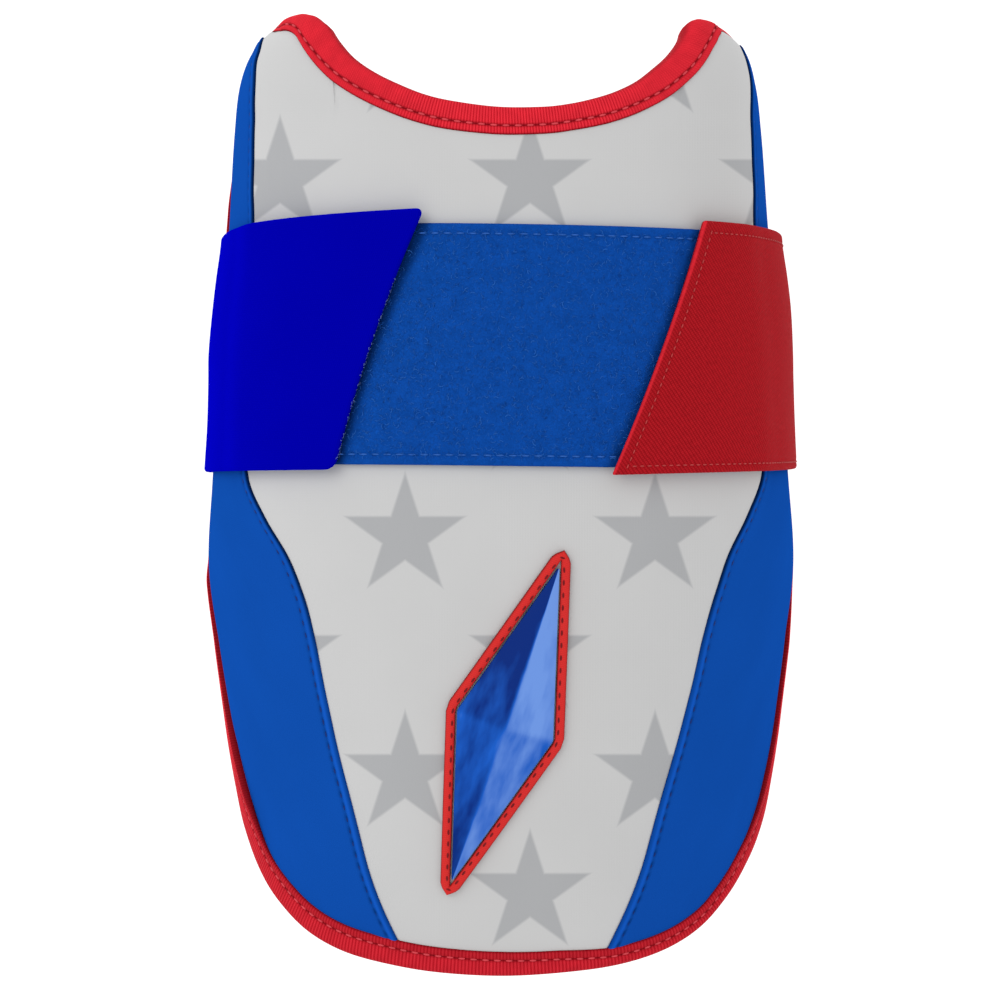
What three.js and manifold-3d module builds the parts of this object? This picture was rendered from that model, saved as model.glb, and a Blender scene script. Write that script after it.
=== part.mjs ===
// Elbow guard for batting: a padded shell that arches over the outside of the elbow, bound all round its
// rim, with a hook-and-loop landing across the front and two straps that meet behind the arm.
// It lies on its back. In millimetres, +X is to the right seen from the front, +Y towards the upper arm and
// +Z out of the front.
import * as THREE from "three";
import { mergeVertices } from "three/addons/utils/BufferGeometryUtils.js";
import Module from "manifold-3d";

const wasm = await Module();
wasm.setup();

// Driving dimensions
const WALL = 6; // padded shell, from its skin to its lining
const HALF_WRAP = 125; // length round the section from the crown to the hem
const LAY_GAP = 0.4; // clearance under each laid-on piece
const SEAM_GAP = 0.4; // clearance between two panels at their seam

const TAPE_LEG = 6.8; // how far the rim tape reaches over each face
const TAPE_DRAWN_LEG = 2; // its reach over the front where it is drawn back behind the shoulders
const TAPE_DRAWN = { from: 0.41, past: 0.53, until: 0.8, to: 0.95 }; // the shares of the half wrap there
const TAPE_THICK = 0.9;
const TAPE_HALF = 3.6; // half the bound rim's thickness, proud of the wall
const TAPE_ROUND = 1.6; // rounding of the tape's fold
const TAPE_CLEAR = 0.5; // clearance between the tape and the wall that it grips
const TAPE_STEP = 5; // spacing of the tape's sections round the rim

const STRAP_LOW = 6.4; // the straps' edges along the arm
const STRAP_HIGH = 65.6;
const STRAP_THICK = 2;
const STRAP_CORNER = 4.5; // radius of a strap's turn under the wing, at mid thickness
const LANDING_THICK = 1.6;
const LANDING_LOW = 7; // the landing's edges along the arm
const LANDING_HIGH = 65.1;
const LANDING_LEAN = 0.85; // how far its left end rises and its right end drops
const LANDING_REACH = 0.535; // the landing's ends, as shares of the half wrap
const LANDING_STEP = 0.1; // the share in which a strap comes down beside the landing
const LAP = 28; // the straps' sewn overlap behind the arm
const LAP_RAMP = 10; // the run in which the upper strap climbs onto the lower one
const LAP_CLEAR = 2; // the climb ends this far before the lower strap's end

const EMBLEM_X = 0.7; // the inlay's centre on the front
const EMBLEM_Y = -55.5;
const EMBLEM_HALF_LENGTH = 42;
const EMBLEM_HALF_WIDTH = 12.5;
const EMBLEM_LEAN = THREE.MathUtils.degToRad(19); // from the arm's line towards +X
const EMBLEM_PEAK = 4.6; // height of its facets' meeting point over their edges
const EMBLEM_EDGE = 1.1; // height of the facets' edges
const BORDER_WIDTH = 2.4;
const BORDER_TIP = 2.6; // how far the border's blunt tips stand out from the inlay's points
const BORDER_THICK = 0.9;

// Arched sections along the arm: half width at the widest, height of the crown, height of the widest line,
// height of the back hem, and the arch's exponent, where 2 is an ellipse and more is flatter in front
const SECTIONS = [
  { y: -124, halfWidth: 70, crown: 52, waist: -8, hem: 8, power: 2.35 },
  { y: -100, halfWidth: 69.4, crown: 60, waist: -12, hem: 5.5, power: 2.35 },
  { y: -78, halfWidth: 69.8, crown: 67.5, waist: -15, hem: 3, power: 2.35 },
  { y: -58, halfWidth: 71.8, crown: 72, waist: -13, hem: 1, power: 2.35 },
  { y: -38, halfWidth: 74, crown: 75.5, waist: -8, hem: 0.3, power: 2.35 },
  { y: -18, halfWidth: 75.6, crown: 78.5, waist: 0, hem: 0.6, power: 2.35 },
  { y: 4, halfWidth: 73.8, crown: 80, waist: 9, hem: 2.7, power: 2.35 },
  { y: 36, halfWidth: 71.4, crown: 80, waist: 12, hem: 2.8, power: 2.35 },
  { y: 68, halfWidth: 68.9, crown: 78.3, waist: 12, hem: 2.8, power: 2.35 },
  { y: 92, halfWidth: 66.6, crown: 75.6, waist: 20, hem: 4, power: 2.8 },
  { y: 104, halfWidth: 64.2, crown: 73.8, waist: 28, hem: 8, power: 3.4 },
  { y: 112, halfWidth: 59.7, crown: 72.4, waist: 34, hem: 13, power: 3.8 },
  { y: 118, halfWidth: 51.9, crown: 71, waist: 39, hem: 18, power: 4 },
  { y: 124, halfWidth: 40, crown: 69.4, waist: 43, hem: 24, power: 4 },
];

// The rim, as places on the shell: turn is the share of the half wrap from the crown, left and right the
// stations on the two sides. The top runs from the neck's middle over the shoulder to the wing's hem.
const TOP_RIM = [
  { turn: 0, left: 94.1, right: 94.1 },
  { turn: 0.086, left: 95.6, right: 94 },
  { turn: 0.139, left: 97.3, right: 94.7 },
  { turn: 0.185, left: 99.9, right: 96 },
  { turn: 0.224, left: 102.8, right: 97.7 },
  { turn: 0.258, left: 106.3, right: 100.1 },
  { turn: 0.286, left: 110.6, right: 103.5 },
  { turn: 0.31, left: 114.2, right: 106.7 },
  { turn: 0.336, left: 116.2, right: 111 },
  { turn: 0.358, left: 117.4, right: 114.5 },
  { turn: 0.385, left: 118.1, right: 116 },
  { turn: 0.419, left: 118.4, right: 116.1 },
  { turn: 0.463, left: 117.8, right: 115.3 },
  { turn: 0.517, left: 116.2, right: 114.2 },
  { turn: 0.592, left: 113.8, right: 112.4 },
  { turn: 0.778, left: 110.9, right: 110.2 },
  { turn: 0.902, left: 107.6, right: 107.2 },
  { turn: 0.946, left: 102.4, right: 102.2 },
  { turn: 0.973, left: 94.6, right: 94.6 },
  { turn: 0.992, left: 83.5, right: 83.5 },
  { turn: 1, left: 72, right: 72 },
];
const WING_RIM = [
  { turn: 1, left: 45, right: 45 },
  { turn: 1, left: 18, right: 18 },
  { turn: 1, left: -8, right: -8 },
];
// The bottom runs from the hem round the tongue to its tip.
const BOTTOM_RIM = [
  { turn: 1, left: -36, right: -36 },
  { turn: 0.997, left: -55, right: -55 },
  { turn: 0.968, left: -68, right: -68 },
  { turn: 0.9, left: -80.3, right: -80.3 },
  { turn: 0.82, left: -89.1, right: -88.8 },
  { turn: 0.743, left: -96.4, right: -95.3 },
  { turn: 0.662, left: -102.4, right: -101.6 },
  { turn: 0.558, left: -108.8, right: -108.6 },
  { turn: 0.446, left: -113.3, right: -113.5 },
  { turn: 0.316, left: -116.2, right: -116.7 },
  { turn: 0.175, left: -118.2, right: -118.3 },
  { turn: 0, left: -119.1, right: -119.1 },
];

// The seams between the front and the side panels: the left and the right one's turn at a station
const SEAM = [
  { y: -124, left: 0.205, right: 0.215 },
  { y: -108.5, left: 0.293, right: 0.3 },
  { y: -98.5, left: 0.339, right: 0.348 },
  { y: -88.5, left: 0.37, right: 0.383 },
  { y: -68.7, left: 0.406, right: 0.428 },
  { y: -49, left: 0.4215, right: 0.456 },
  { y: -34.3, left: 0.4245, right: 0.466 },
  { y: -24.5, left: 0.43, right: 0.4755 },
  { y: -14.8, left: 0.4555, right: 0.498 },
  { y: -5, left: 0.5135, right: 0.552 },
  { y: 5, left: 0.567, right: 0.606 },
  { y: 34, left: 0.597, right: 0.64 },
  { y: 73, left: 0.585, right: 0.643 },
  { y: 84, left: 0.5545, right: 0.61 },
  { y: 95, left: 0.517, right: 0.573 },
  { y: 102, left: 0.488, right: 0.5555 },
  { y: 107, left: 0.4845, right: 0.549 },
  { y: 110.5, left: 0.488, right: 0.565 },
  { y: 113.5, left: 0.54, right: 0.66 },
  { y: 118, left: 0.74, right: 0.8 },
  { y: 124, left: 0.95, right: 0.95 },
];

// Each strap's slanted end on the front: x at its two corners, how far the end bows sideways between them,
// how far the corners stand out past the strap's edges, and the strap's height over the wing. side is -1 on
// the left.
const STRAP_ENDS = {
  strap_blue: { side: -1, lowX: -38.6, highX: -17.2, bow: -1.5, flare: 3.4, dip: 0, rise: 1.05 },
  strap_red: { side: 1, lowX: 26, highX: 47.8, bow: 1.15, flare: 0.8, dip: 1.8, rise: 1.4 },
};

// Facets: the fewest that keep laid-on pieces clear of each other
const PANEL_ROWS = 24;
const KNEE = -20; // below this station the panels' rows fan out to the tongue's rim
const KNEE_SHARE = 10 / 24; // the share of the rows below it
const TOP_CROWDING = 1.4; // the rows above it draw closer towards the shoulders
const FRONT_COLUMNS = 20;
const SIDE_COLUMNS = 7;
const LANDING_ROWS = 4;
const LANDING_COLUMNS = 18;
const STRAP_ROWS = 4;
const STRAP_ARCH_STEPS = 20;
const STRAP_CORNER_STEPS = 5;
const EMBLEM_STEPS = 14;
const EMBLEM_BLUNT = 0.985; // the inlay's points are cut at this share of their length
const BORDER_STOPS = [0, 0.03, 0.2, 0.45, 0.7, 0.97]; // shares of each border edge with a section
const TURN_STEP = 0.002; // steps over which the skin's slopes are taken
const STATION_STEP = 0.2;
const RIM_SAMPLES = 1600;

const { cos, sin, abs, sign, min, max, PI } = Math;
const mix = THREE.MathUtils.lerp;
const smooth = THREE.MathUtils.smoothstep;

// A table's column at station y, on a smooth curve through its rows.
function along(table, column, y) {
  const last = table.length - 1;
  const at = THREE.MathUtils.clamp(y, table[0].y, table[last].y);
  const i = min(last - 1, max(0, table.findIndex((row) => row.y >= at) - 1));
  const slope = (k) => {
    const before = table[max(0, k - 1)];
    const after = table[min(last, k + 1)];
    return (after[column] - before[column]) / (after.y - before.y);
  };
  const span = table[i + 1].y - table[i].y;
  const t = (at - table[i].y) / span;
  const ease = t * t * (3 - 2 * t);
  return (
    mix(table[i][column], table[i + 1][column], ease) +
    span * t * (1 - t) * ((1 - t) * slope(i) - t * slope(i + 1))
  );
}

const seamTurn = (side, y) => along(SEAM, side < 0 ? "left" : "right", y);

function section(y) {
  const waist = along(SECTIONS, "waist", y);
  const rise = along(SECTIONS, "crown", y) - waist;
  const drop = (along(SECTIONS, "hem", y) - waist) / rise;
  const power = along(SECTIONS, "power", y);
  const hemAngle = Math.atan2((1 - abs(drop) ** power) ** (1 / power), drop);
  return { halfWidth: along(SECTIONS, "halfWidth", y), waist, rise, power, hemAngle };
}

// The bare skin at a share of the half wrap and a station.
function bareSkin(turn, y) {
  const { halfWidth, waist, rise, power, hemAngle } = section(y);
  const across = sin(turn * hemAngle);
  const above = cos(turn * hemAngle);
  const reach = (abs(across) ** power + abs(above) ** power) ** (-1 / power);
  return new THREE.Vector3(halfWidth * across * reach, y, waist + rise * above * reach);
}

// The skin's slopes: per share of the half wrap, and per millimetre of station.
function skinSlopes(turn, y) {
  const around = bareSkin(turn + TURN_STEP, y).sub(bareSkin(turn - TURN_STEP, y));
  const lengthwise = bareSkin(turn, y + STATION_STEP).sub(bareSkin(turn, y - STATION_STEP));
  return {
    around: around.divideScalar(2 * TURN_STEP),
    lengthwise: lengthwise.divideScalar(2 * STATION_STEP),
  };
}

function skinNormal(turn, y) {
  const { around, lengthwise } = skinSlopes(turn, y);
  return around.cross(lengthwise).normalize();
}

const skin = (turn, y, lift = 0) =>
  bareSkin(turn, y).addScaledVector(skinNormal(turn, y), lift);

// The share of the half wrap under a place x, y on the front.
function turnUnder(x, y) {
  const { halfWidth, power, hemAngle } = section(y);
  const across = min(1, abs(x) / halfWidth);
  return (sign(x) * Math.atan2(across, (1 - across ** power) ** (1 / power))) / hemAngle;
}

// The whole rim, closed through the left half
const HALF_RIM = [...TOP_RIM, ...WING_RIM, ...BOTTOM_RIM];
const RIM_POINTS = [
  ...HALF_RIM.map(({ turn, right }) => new THREE.Vector3(turn, right, 0)),
  ...HALF_RIM.slice(1, -1)
    .reverse()
    .map(({ turn, left }) => new THREE.Vector3(-turn, left, 0)),
];
const RIM = new THREE.CatmullRomCurve3(RIM_POINTS, true, "catmullrom");
const rimAt = (row) => RIM.getPoint(row / RIM_POINTS.length);

function bisect(rises, low, high) {
  for (let k = 0; k < 40; k++) {
    const middle = (low + high) / 2;
    if (rises(middle) > 0) high = middle;
    else low = middle;
  }
  return (low + high) / 2;
}

// The rim's station at a share of the half wrap, negative on the left.
function topRim(turn) {
  const side = turn < 0 ? -1 : 1;
  const wanted = bisect((row) => abs(rimAt(side * row).x) - abs(turn), 0, TOP_RIM.length - 1);
  return rimAt(side * wanted).y;
}

function bottomRim(turn) {
  const side = turn < 0 ? -1 : 1;
  const first = TOP_RIM.length + WING_RIM.length;
  const wanted = bisect((row) => abs(turn) - abs(rimAt(side * row).x), first, HALF_RIM.length - 1);
  return rimAt(side * wanted).y;
}

function solidMesh(positions, triangles) {
  const geometry = new THREE.BufferGeometry();
  geometry.setAttribute(
    "position",
    new THREE.Float32BufferAttribute(
      positions.flatMap((p) => p.toArray()),
      3,
    ),
  );
  geometry.setIndex(triangles);
  return geometry;
}

// Two triangles on four corners, split along the shorter diagonal.
function quad(points, a, b, c, d) {
  const straight = points[a].distanceTo(points[c]) <= points[b].distanceTo(points[d]);
  return straight ? [a, b, c, a, c, d] : [a, b, d, b, c, d];
}

// A closed sheet from a grid: face(across, up) gives its { outer, inner } points at shares of its width and
// height, with columns to the right and rows upwards seen from outside.
function sheetSolid(columns, rows, face) {
  const outer = [];
  const inner = [];
  for (let row = 0; row <= rows; row++)
    for (let column = 0; column <= columns; column++) {
      const points = face(column / columns, row / rows);
      outer.push(points.outer);
      inner.push(points.inner);
    }
  const points = [...outer, ...inner];
  const at = (c, r) => r * (columns + 1) + c;
  const under = (c, r) => outer.length + at(c, r);
  const triangles = [];
  const cover = (a, b, c, d) => triangles.push(...quad(points, a, b, c, d));
  for (let r = 0; r < rows; r++)
    for (let c = 0; c < columns; c++) {
      cover(at(c, r), at(c + 1, r), at(c + 1, r + 1), at(c, r + 1));
      cover(under(c, r), under(c, r + 1), under(c + 1, r + 1), under(c + 1, r));
    }
  for (let c = 0; c < columns; c++) {
    cover(at(c + 1, 0), at(c, 0), under(c, 0), under(c + 1, 0));
    cover(at(c, rows), at(c + 1, rows), under(c + 1, rows), under(c, rows));
  }
  for (let r = 0; r < rows; r++) {
    cover(at(0, r), at(0, r + 1), under(0, r + 1), under(0, r));
    cover(at(columns, r + 1), at(columns, r), under(columns, r), under(columns, r + 1));
  }
  return solidMesh(points, triangles);
}

// A closed ring from the sections round it, each a list of points in the same order.
function ringSolid(sections) {
  const corners = sections[0].length;
  const at = (i, k) => (i % sections.length) * corners + (k % corners);
  const points = sections.flat();
  const triangles = [];
  for (let i = 0; i < sections.length; i++)
    for (let k = 0; k < corners; k++)
      triangles.push(...quad(points, at(i, k), at(i + 1, k), at(i + 1, k + 1), at(i, k + 1)));
  return solidMesh(points, triangles);
}

function asManifold(geometry) {
  const merged = mergeVertices(geometry, 1e-4);
  return new wasm.Manifold(
    new wasm.Mesh({
      numProp: 3,
      vertProperties: merged.attributes.position.array,
      triVerts: new Uint32Array(merged.index.array),
    }),
  );
}

function cutAway(geometry, cutter) {
  const mesh = asManifold(geometry).subtract(asManifold(cutter)).getMesh();
  const made = new THREE.BufferGeometry();
  made.setAttribute("position", new THREE.BufferAttribute(mesh.vertProperties, 3));
  made.setIndex(new THREE.BufferAttribute(mesh.triVerts, 1));
  return made;
}

// How far the tape reaches over the front at a place of the rim.
function tapeLeg(turn, y) {
  const { from, past, until, to } = TAPE_DRAWN;
  const drawn = y > 0 ? smooth(abs(turn), from, past) - smooth(abs(turn), until, to) : 0;
  return mix(TAPE_LEG, TAPE_DRAWN_LEG, drawn);
}

// Frames round the rim: its place on the shell, the way out of the wall's edge, the shares and stations that
// one millimetre of that way passes, and the tape's reach over the front.
function rimFrames() {
  const place = (share) => {
    const { x: turn, y } = RIM.getPoint(share - Math.floor(share));
    return { turn, y, point: skin(turn, y, -WALL / 2) };
  };
  const lengths = [0];
  let before = place(0).point;
  for (let i = 1; i <= RIM_SAMPLES; i++) {
    const next = place(i / RIM_SAMPLES).point;
    lengths.push(lengths[i - 1] + next.distanceTo(before));
    before = next;
  }
  const count = Math.round(lengths[RIM_SAMPLES] / TAPE_STEP);
  const frames = [];
  for (let k = 0, i = 0; k < count; k++) {
    const wanted = (lengths[RIM_SAMPLES] * k) / count;
    while (lengths[i + 1] < wanted) i++;
    const share = (i + (wanted - lengths[i]) / (lengths[i + 1] - lengths[i])) / RIM_SAMPLES;
    const { turn, y } = place(share);
    const ahead = place(share + 1 / RIM_SAMPLES).point.sub(place(share - 1 / RIM_SAMPLES).point);
    const out = skinNormal(turn, y).cross(ahead).normalize();
    const { around, lengthwise } = skinSlopes(turn, y);
    const mixed = around.dot(lengthwise);
    const area = around.lengthSq() * lengthwise.lengthSq() - mixed * mixed;
    const turns = (out.dot(around) * lengthwise.lengthSq() - out.dot(lengthwise) * mixed) / area;
    const stations = (out.dot(lengthwise) * around.lengthSq() - out.dot(around) * mixed) / area;
    frames.push({ turn, y, out, turns, stations, leg: tapeLeg(turn, y) });
  }
  return frames;
}

// A ring round the rim. profile(leg) gives its { out, face } corners where the tape reaches leg over the
// front: out is the distance past the rim, along the skin inside it, and face the height from mid wall.
function rimRing(profile) {
  return ringSolid(
    rimFrames().map((frame) =>
      profile(frame.leg).map(({ out, face }) => {
        const along = min(0, out);
        const turn = frame.turn + along * frame.turns;
        const y = frame.y + along * frame.stations;
        return skin(turn, y, face - WALL / 2).addScaledVector(frame.out, max(0, out));
      }),
    ),
  );
}

function tapeSolid() {
  const grip = TAPE_HALF - TAPE_THICK;
  const half = (leg) => [
    { out: -leg, face: grip },
    { out: -leg, face: TAPE_HALF },
    { out: -TAPE_ROUND, face: TAPE_HALF },
    { out: 0, face: TAPE_HALF - TAPE_ROUND },
  ];
  const back = half(TAPE_LEG).map(({ out, face }) => ({ out, face: -face }));
  const web = [-grip, grip].map((face) => ({ out: -TAPE_THICK, face }));
  return rimRing((leg) => [...half(leg), ...back.toReversed(), ...web]);
}

// The room that the tape takes from the wall's edge, with its clearance.
function tapeChannel() {
  const grip = TAPE_HALF - TAPE_THICK - TAPE_CLEAR;
  const back = TAPE_LEG + TAPE_CLEAR;
  const web = TAPE_THICK + TAPE_CLEAR;
  const past = WALL;
  return rimRing((leg) => [
    { out: -leg - TAPE_CLEAR, face: grip },
    { out: -leg - TAPE_CLEAR, face: past },
    { out: past, face: past },
    { out: past, face: -past },
    { out: -back, face: -past },
    { out: -back, face: -grip },
    { out: -web, face: -grip },
    { out: -web, face: grip },
  ]);
}

// One padded panel: turnAt(across, y) gives the lengthwise lines between its two sides.
function panelSolid(columns, turnAt) {
  const past = (edge, across) => (y) => y - edge(turnAt(across, y));
  return sheetSolid(columns, PANEL_ROWS, (across, up) => {
    const low = bisect(past(bottomRim, across), SECTIONS[0].y, KNEE);
    const high = bisect(past(topRim, across), STRAP_HIGH, SECTIONS.at(-1).y);
    const y =
      up < KNEE_SHARE
        ? mix(low, KNEE, up / KNEE_SHARE)
        : mix(high, KNEE, ((1 - up) / (1 - KNEE_SHARE)) ** TOP_CROWDING);
    const turn = turnAt(across, y);
    return { outer: skin(turn, y), inner: skin(turn, y, -WALL) };
  });
}

function frontPanel() {
  const gap = SEAM_GAP / 2 / HALF_WRAP;
  return panelSolid(FRONT_COLUMNS, (across, y) => mix(gap - seamTurn(-1, y), seamTurn(1, y) - gap, across));
}

function sidePanel(side) {
  const gap = SEAM_GAP / 2 / HALF_WRAP;
  return panelSolid(SIDE_COLUMNS, (across, y) => {
    const fromSeam = side > 0 ? across : 1 - across;
    return side * mix(seamTurn(side, y) + gap, 1, fromSeam);
  });
}

function landing() {
  return sheetSolid(LANDING_COLUMNS, LANDING_ROWS, (across, up) => {
    const turn = mix(-LANDING_REACH, LANDING_REACH, across);
    const lean = LANDING_LEAN * sin(mix(-PI / 2, PI / 2, across));
    const y = mix(LANDING_LOW, LANDING_HIGH, up) - lean;
    return { outer: skin(turn, y, LAY_GAP + LANDING_THICK), inner: skin(turn, y, LAY_GAP) };
  });
}

// A strap's place over the skin, seen along the arm: its mid line and the way out of its face.
function strapOverSkin(turn, y, rise) {
  const onLanding = 2 * LAY_GAP + LANDING_THICK;
  const past = smooth(abs(turn), LANDING_REACH, LANDING_REACH + LANDING_STEP);
  const out = skinNormal(turn, y).setY(0).normalize();
  const lift = mix(onLanding, rise, past) + STRAP_THICK / 2;
  return { point: bareSkin(turn, y).addScaledVector(out, lift), out };
}

// The strap's mid line at one share of its width, from its end on the front to its end behind the arm.
function strapLine({ side, lowX, highX, bow, flare, dip, rise }, up) {
  const level = (share) => mix(STRAP_LOW - dip * (1 - share), STRAP_HIGH + flare * (1 - share), up);
  const endX = mix(lowX, highX, up) + bow * 4 * up * (1 - up);
  const endTurn = side * turnUnder(endX, level(0));
  const floor = STRAP_THICK / 2;
  const turnDown = bisect(
    (turn) => {
      const { point, out } = strapOverSkin(side * turn, level(1), rise);
      return floor + STRAP_CORNER - (point.z - STRAP_CORNER * out.z);
    },
    LANDING_REACH + LANDING_STEP,
    1.1,
  );
  const line = [];
  for (let i = 0; i <= STRAP_ARCH_STEPS; i++) {
    const share = i / STRAP_ARCH_STEPS;
    line.push(strapOverSkin(side * mix(endTurn, turnDown, share), level(share), rise));
  }
  const { point, out } = line[line.length - 1];
  const centre = point.clone().addScaledVector(out, -STRAP_CORNER);
  const from = Math.asin(out.z);
  for (let i = 1; i <= STRAP_CORNER_STEPS; i++) {
    const angle = mix(from, -PI / 2, i / STRAP_CORNER_STEPS);
    const way = new THREE.Vector3(side * cos(angle), 0, sin(angle));
    line.push({ point: centre.clone().addScaledVector(way, STRAP_CORNER), out: way });
  }
  const y = level(1);
  const down = new THREE.Vector3(0, 0, -1);
  const lay = (x, z) => line.push({ point: new THREE.Vector3(x, y, z), out: down });
  const upper = floor + STRAP_THICK + LAY_GAP;
  if (side > 0) {
    lay(LAP / 2 + LAP_CLEAR + LAP_RAMP, floor);
    lay(LAP / 2 + LAP_CLEAR, upper);
    lay(-LAP / 2, upper);
  } else lay(LAP / 2, floor);
  return line;
}

function strap(end) {
  const lines = [];
  for (let row = 0; row <= STRAP_ROWS; row++) lines.push(strapLine(end, row / STRAP_ROWS));
  const steps = lines[0].length - 1;
  return sheetSolid(steps, STRAP_ROWS, (along, up) => {
    const step = Math.round(along * steps);
    const { point, out } = lines[Math.round(up * STRAP_ROWS)][end.side > 0 ? step : steps - step];
    return {
      outer: point.clone().addScaledVector(out, STRAP_THICK / 2),
      inner: point.clone().addScaledVector(out, -STRAP_THICK / 2),
    };
  });
}

// A place on the front given along and across the leaning inlay.
function onEmblem(length, width, lift) {
  const x = EMBLEM_X + length * sin(EMBLEM_LEAN) + width * cos(EMBLEM_LEAN);
  const y = EMBLEM_Y + length * cos(EMBLEM_LEAN) - width * sin(EMBLEM_LEAN);
  return skin(turnUnder(x, y), y, lift);
}

const EMBLEM_SLANT = Math.atan2(EMBLEM_HALF_WIDTH, EMBLEM_HALF_LENGTH);

// The inlay rises from a lozenge's four edges to its middle, a gap inside the border.
function emblem() {
  const inset = 1 - LAY_GAP / (EMBLEM_HALF_LENGTH * sin(EMBLEM_SLANT));
  return sheetSolid(4, EMBLEM_STEPS, (across, up) => {
    const share = EMBLEM_BLUNT * (2 * up - 1);
    const sideways = 2 * across - 1;
    const taper = 1 - abs(share);
    const peak = EMBLEM_PEAK * taper * (1 - abs(sideways));
    const length = inset * share * EMBLEM_HALF_LENGTH;
    const width = inset * sideways * taper * EMBLEM_HALF_WIDTH;
    const place = (lift) => onEmblem(length, width, lift);
    return { outer: place(LAY_GAP + EMBLEM_EDGE + peak), inner: place(LAY_GAP) };
  });
}

// The border follows the inlay's four edges, from tip to side and back, with blunt tips.
function emblemBorder() {
  const outAlong = BORDER_WIDTH * sin(EMBLEM_SLANT);
  const outAcross = BORDER_WIDTH * cos(EMBLEM_SLANT);
  const top = LAY_GAP + BORDER_THICK;
  const sections = [];
  for (let quarter = 0; quarter < 4; quarter++)
    for (const stop of BORDER_STOPS) {
      const fromTip = quarter % 2 ? 1 - stop : stop;
      const length = EMBLEM_HALF_LENGTH * (1 - fromTip);
      const width = EMBLEM_HALF_WIDTH * fromTip;
      const atTip = fromTip === 0;
      const atSide = fromTip === 1;
      const beyond = atSide ? 0 : atTip ? BORDER_TIP : outAlong;
      const reach = min(length + beyond, EMBLEM_HALF_LENGTH + BORDER_TIP);
      const spread = width + (atTip ? 0 : outAcross);
      const lengthSign = quarter === 0 || quarter === 3 ? 1 : -1;
      const widthSign = quarter < 2 ? 1 : -1;
      const place = (l, w, lift) => onEmblem(lengthSign * l, widthSign * w, lift);
      sections.push([
        place(length, width, LAY_GAP),
        place(length, width, top),
        place(reach, spread, top),
        place(reach, spread, LAY_GAP),
      ]);
    }
  return ringSolid(sections);
}

function finish(color, roughness, metalness = 0) {
  return new THREE.MeshStandardMaterial({ color, roughness, metalness });
}

const FINISHES = {
  print: finish(0xc9c9c9, 0.55),
  wing: finish(0x0d4fb5, 0.55),
  tape: finish(0xc81e2c, 0.75),
  landing: finish(0x0f4aa0, 0.95),
  blueStrap: finish(0x0000b0, 0.8),
  redStrap: finish(0xb4161f, 0.8),
  film: finish(0x2458c4, 0.18, 0.6),
  edging: finish(0xd02a2e, 0.8),
};

const channel = tapeChannel();
const PIECES = {
  front_panel: [cutAway(frontPanel(), channel), FINISHES.print],
  side_panel_left: [cutAway(sidePanel(-1), channel), FINISHES.wing],
  side_panel_right: [cutAway(sidePanel(1), channel), FINISHES.wing],
  edge_binding: [tapeSolid(), FINISHES.tape],
  loop_panel: [landing(), FINISHES.landing],
  strap_blue: [strap(STRAP_ENDS.strap_blue), FINISHES.blueStrap],
  strap_red: [strap(STRAP_ENDS.strap_red), FINISHES.redStrap],
  emblem: [emblem(), FINISHES.film],
  emblem_border: [emblemBorder(), FINISHES.edging],
};

const elbowGuard = new THREE.Group();
for (const [name, [geometry, material]] of Object.entries(PIECES)) {
  geometry.computeVertexNormals();
  const mesh = new THREE.Mesh(geometry, material);
  mesh.name = name;
  elbowGuard.add(mesh);
}

export default elbowGuard;
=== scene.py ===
# Elbow guard for batting: three padded knit panels with a taped rim, a loop landing across the front,
# two straps that close behind the arm, and a faceted inlay, on a pale studio floor.
import math
from functools import partialmethod

import bpy
import numpy as np
from mathutils.kdtree import KDTree
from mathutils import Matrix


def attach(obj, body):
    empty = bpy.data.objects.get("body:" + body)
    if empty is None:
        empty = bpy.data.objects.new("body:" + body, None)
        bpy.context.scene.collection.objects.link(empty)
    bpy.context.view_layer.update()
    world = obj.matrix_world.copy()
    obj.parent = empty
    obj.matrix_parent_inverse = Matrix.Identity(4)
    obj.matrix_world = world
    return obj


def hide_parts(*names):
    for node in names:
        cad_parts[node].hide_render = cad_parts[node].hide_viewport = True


bl_info = {
    "name": "Elbow Guard",
    "version": (1, 0, 0),
    "blender": (4, 5, 0),
    "location": "3D View > Sidebar > Elbow Guard",
    "description": "Builds a padded elbow guard with its tape, straps, stitches and studio",
    "category": "Object",
}

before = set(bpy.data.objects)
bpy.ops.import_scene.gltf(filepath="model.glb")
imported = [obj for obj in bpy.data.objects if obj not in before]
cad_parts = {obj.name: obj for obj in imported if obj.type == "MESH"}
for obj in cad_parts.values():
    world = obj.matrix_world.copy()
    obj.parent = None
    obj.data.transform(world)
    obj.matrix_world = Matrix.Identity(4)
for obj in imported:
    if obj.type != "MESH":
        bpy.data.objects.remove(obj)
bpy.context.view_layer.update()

# Shell and sewn-on pieces, in millimetres
MM = 0.001
UV_MM = 100  # millimetres to one unit of the UV maps
WALL = 6
AROUND = 125  # about a half wrap's length
LAY_GAP = 0.4
LANDING_THICK = 1.6
LANDING_LOW = 7
LANDING_HIGH = 65.1
LANDING_LEAN = 0.85
LANDING_REACH = 0.535  # shares of the half wrap
LANDING_STEP = 0.1
SWAY_STEP = 0.25
STRAP_LOW = 6.4
STRAP_HIGH = 65.6
STRAP_WIDTH = STRAP_HIGH - STRAP_LOW
STRAP_THICK = 2
STRAP_CORNER = 4.5
LAP = 28
LAP_RAMP = 10
LAP_CLEAR = 2
INLAY_X = 0.7
INLAY_Y = -55.5
INLAY_LENGTH = 42
INLAY_WIDTH = 12.5
INLAY_LEAN = math.radians(19)
INLAY_PEAK = 4.6
INLAY_EDGE = 1.1
BORDER_WIDTH = 2.4
BORDER_TIP = 2.6
KNEE = -20
SEAM_ROW = 2.3  # from the side panel's folded edge to its stitches
TAPE_ROW = 2.25  # from the tape's inner edge to its stitches
LANDING_ROW = 2.5  # from the landing's edges to its stitches
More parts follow.
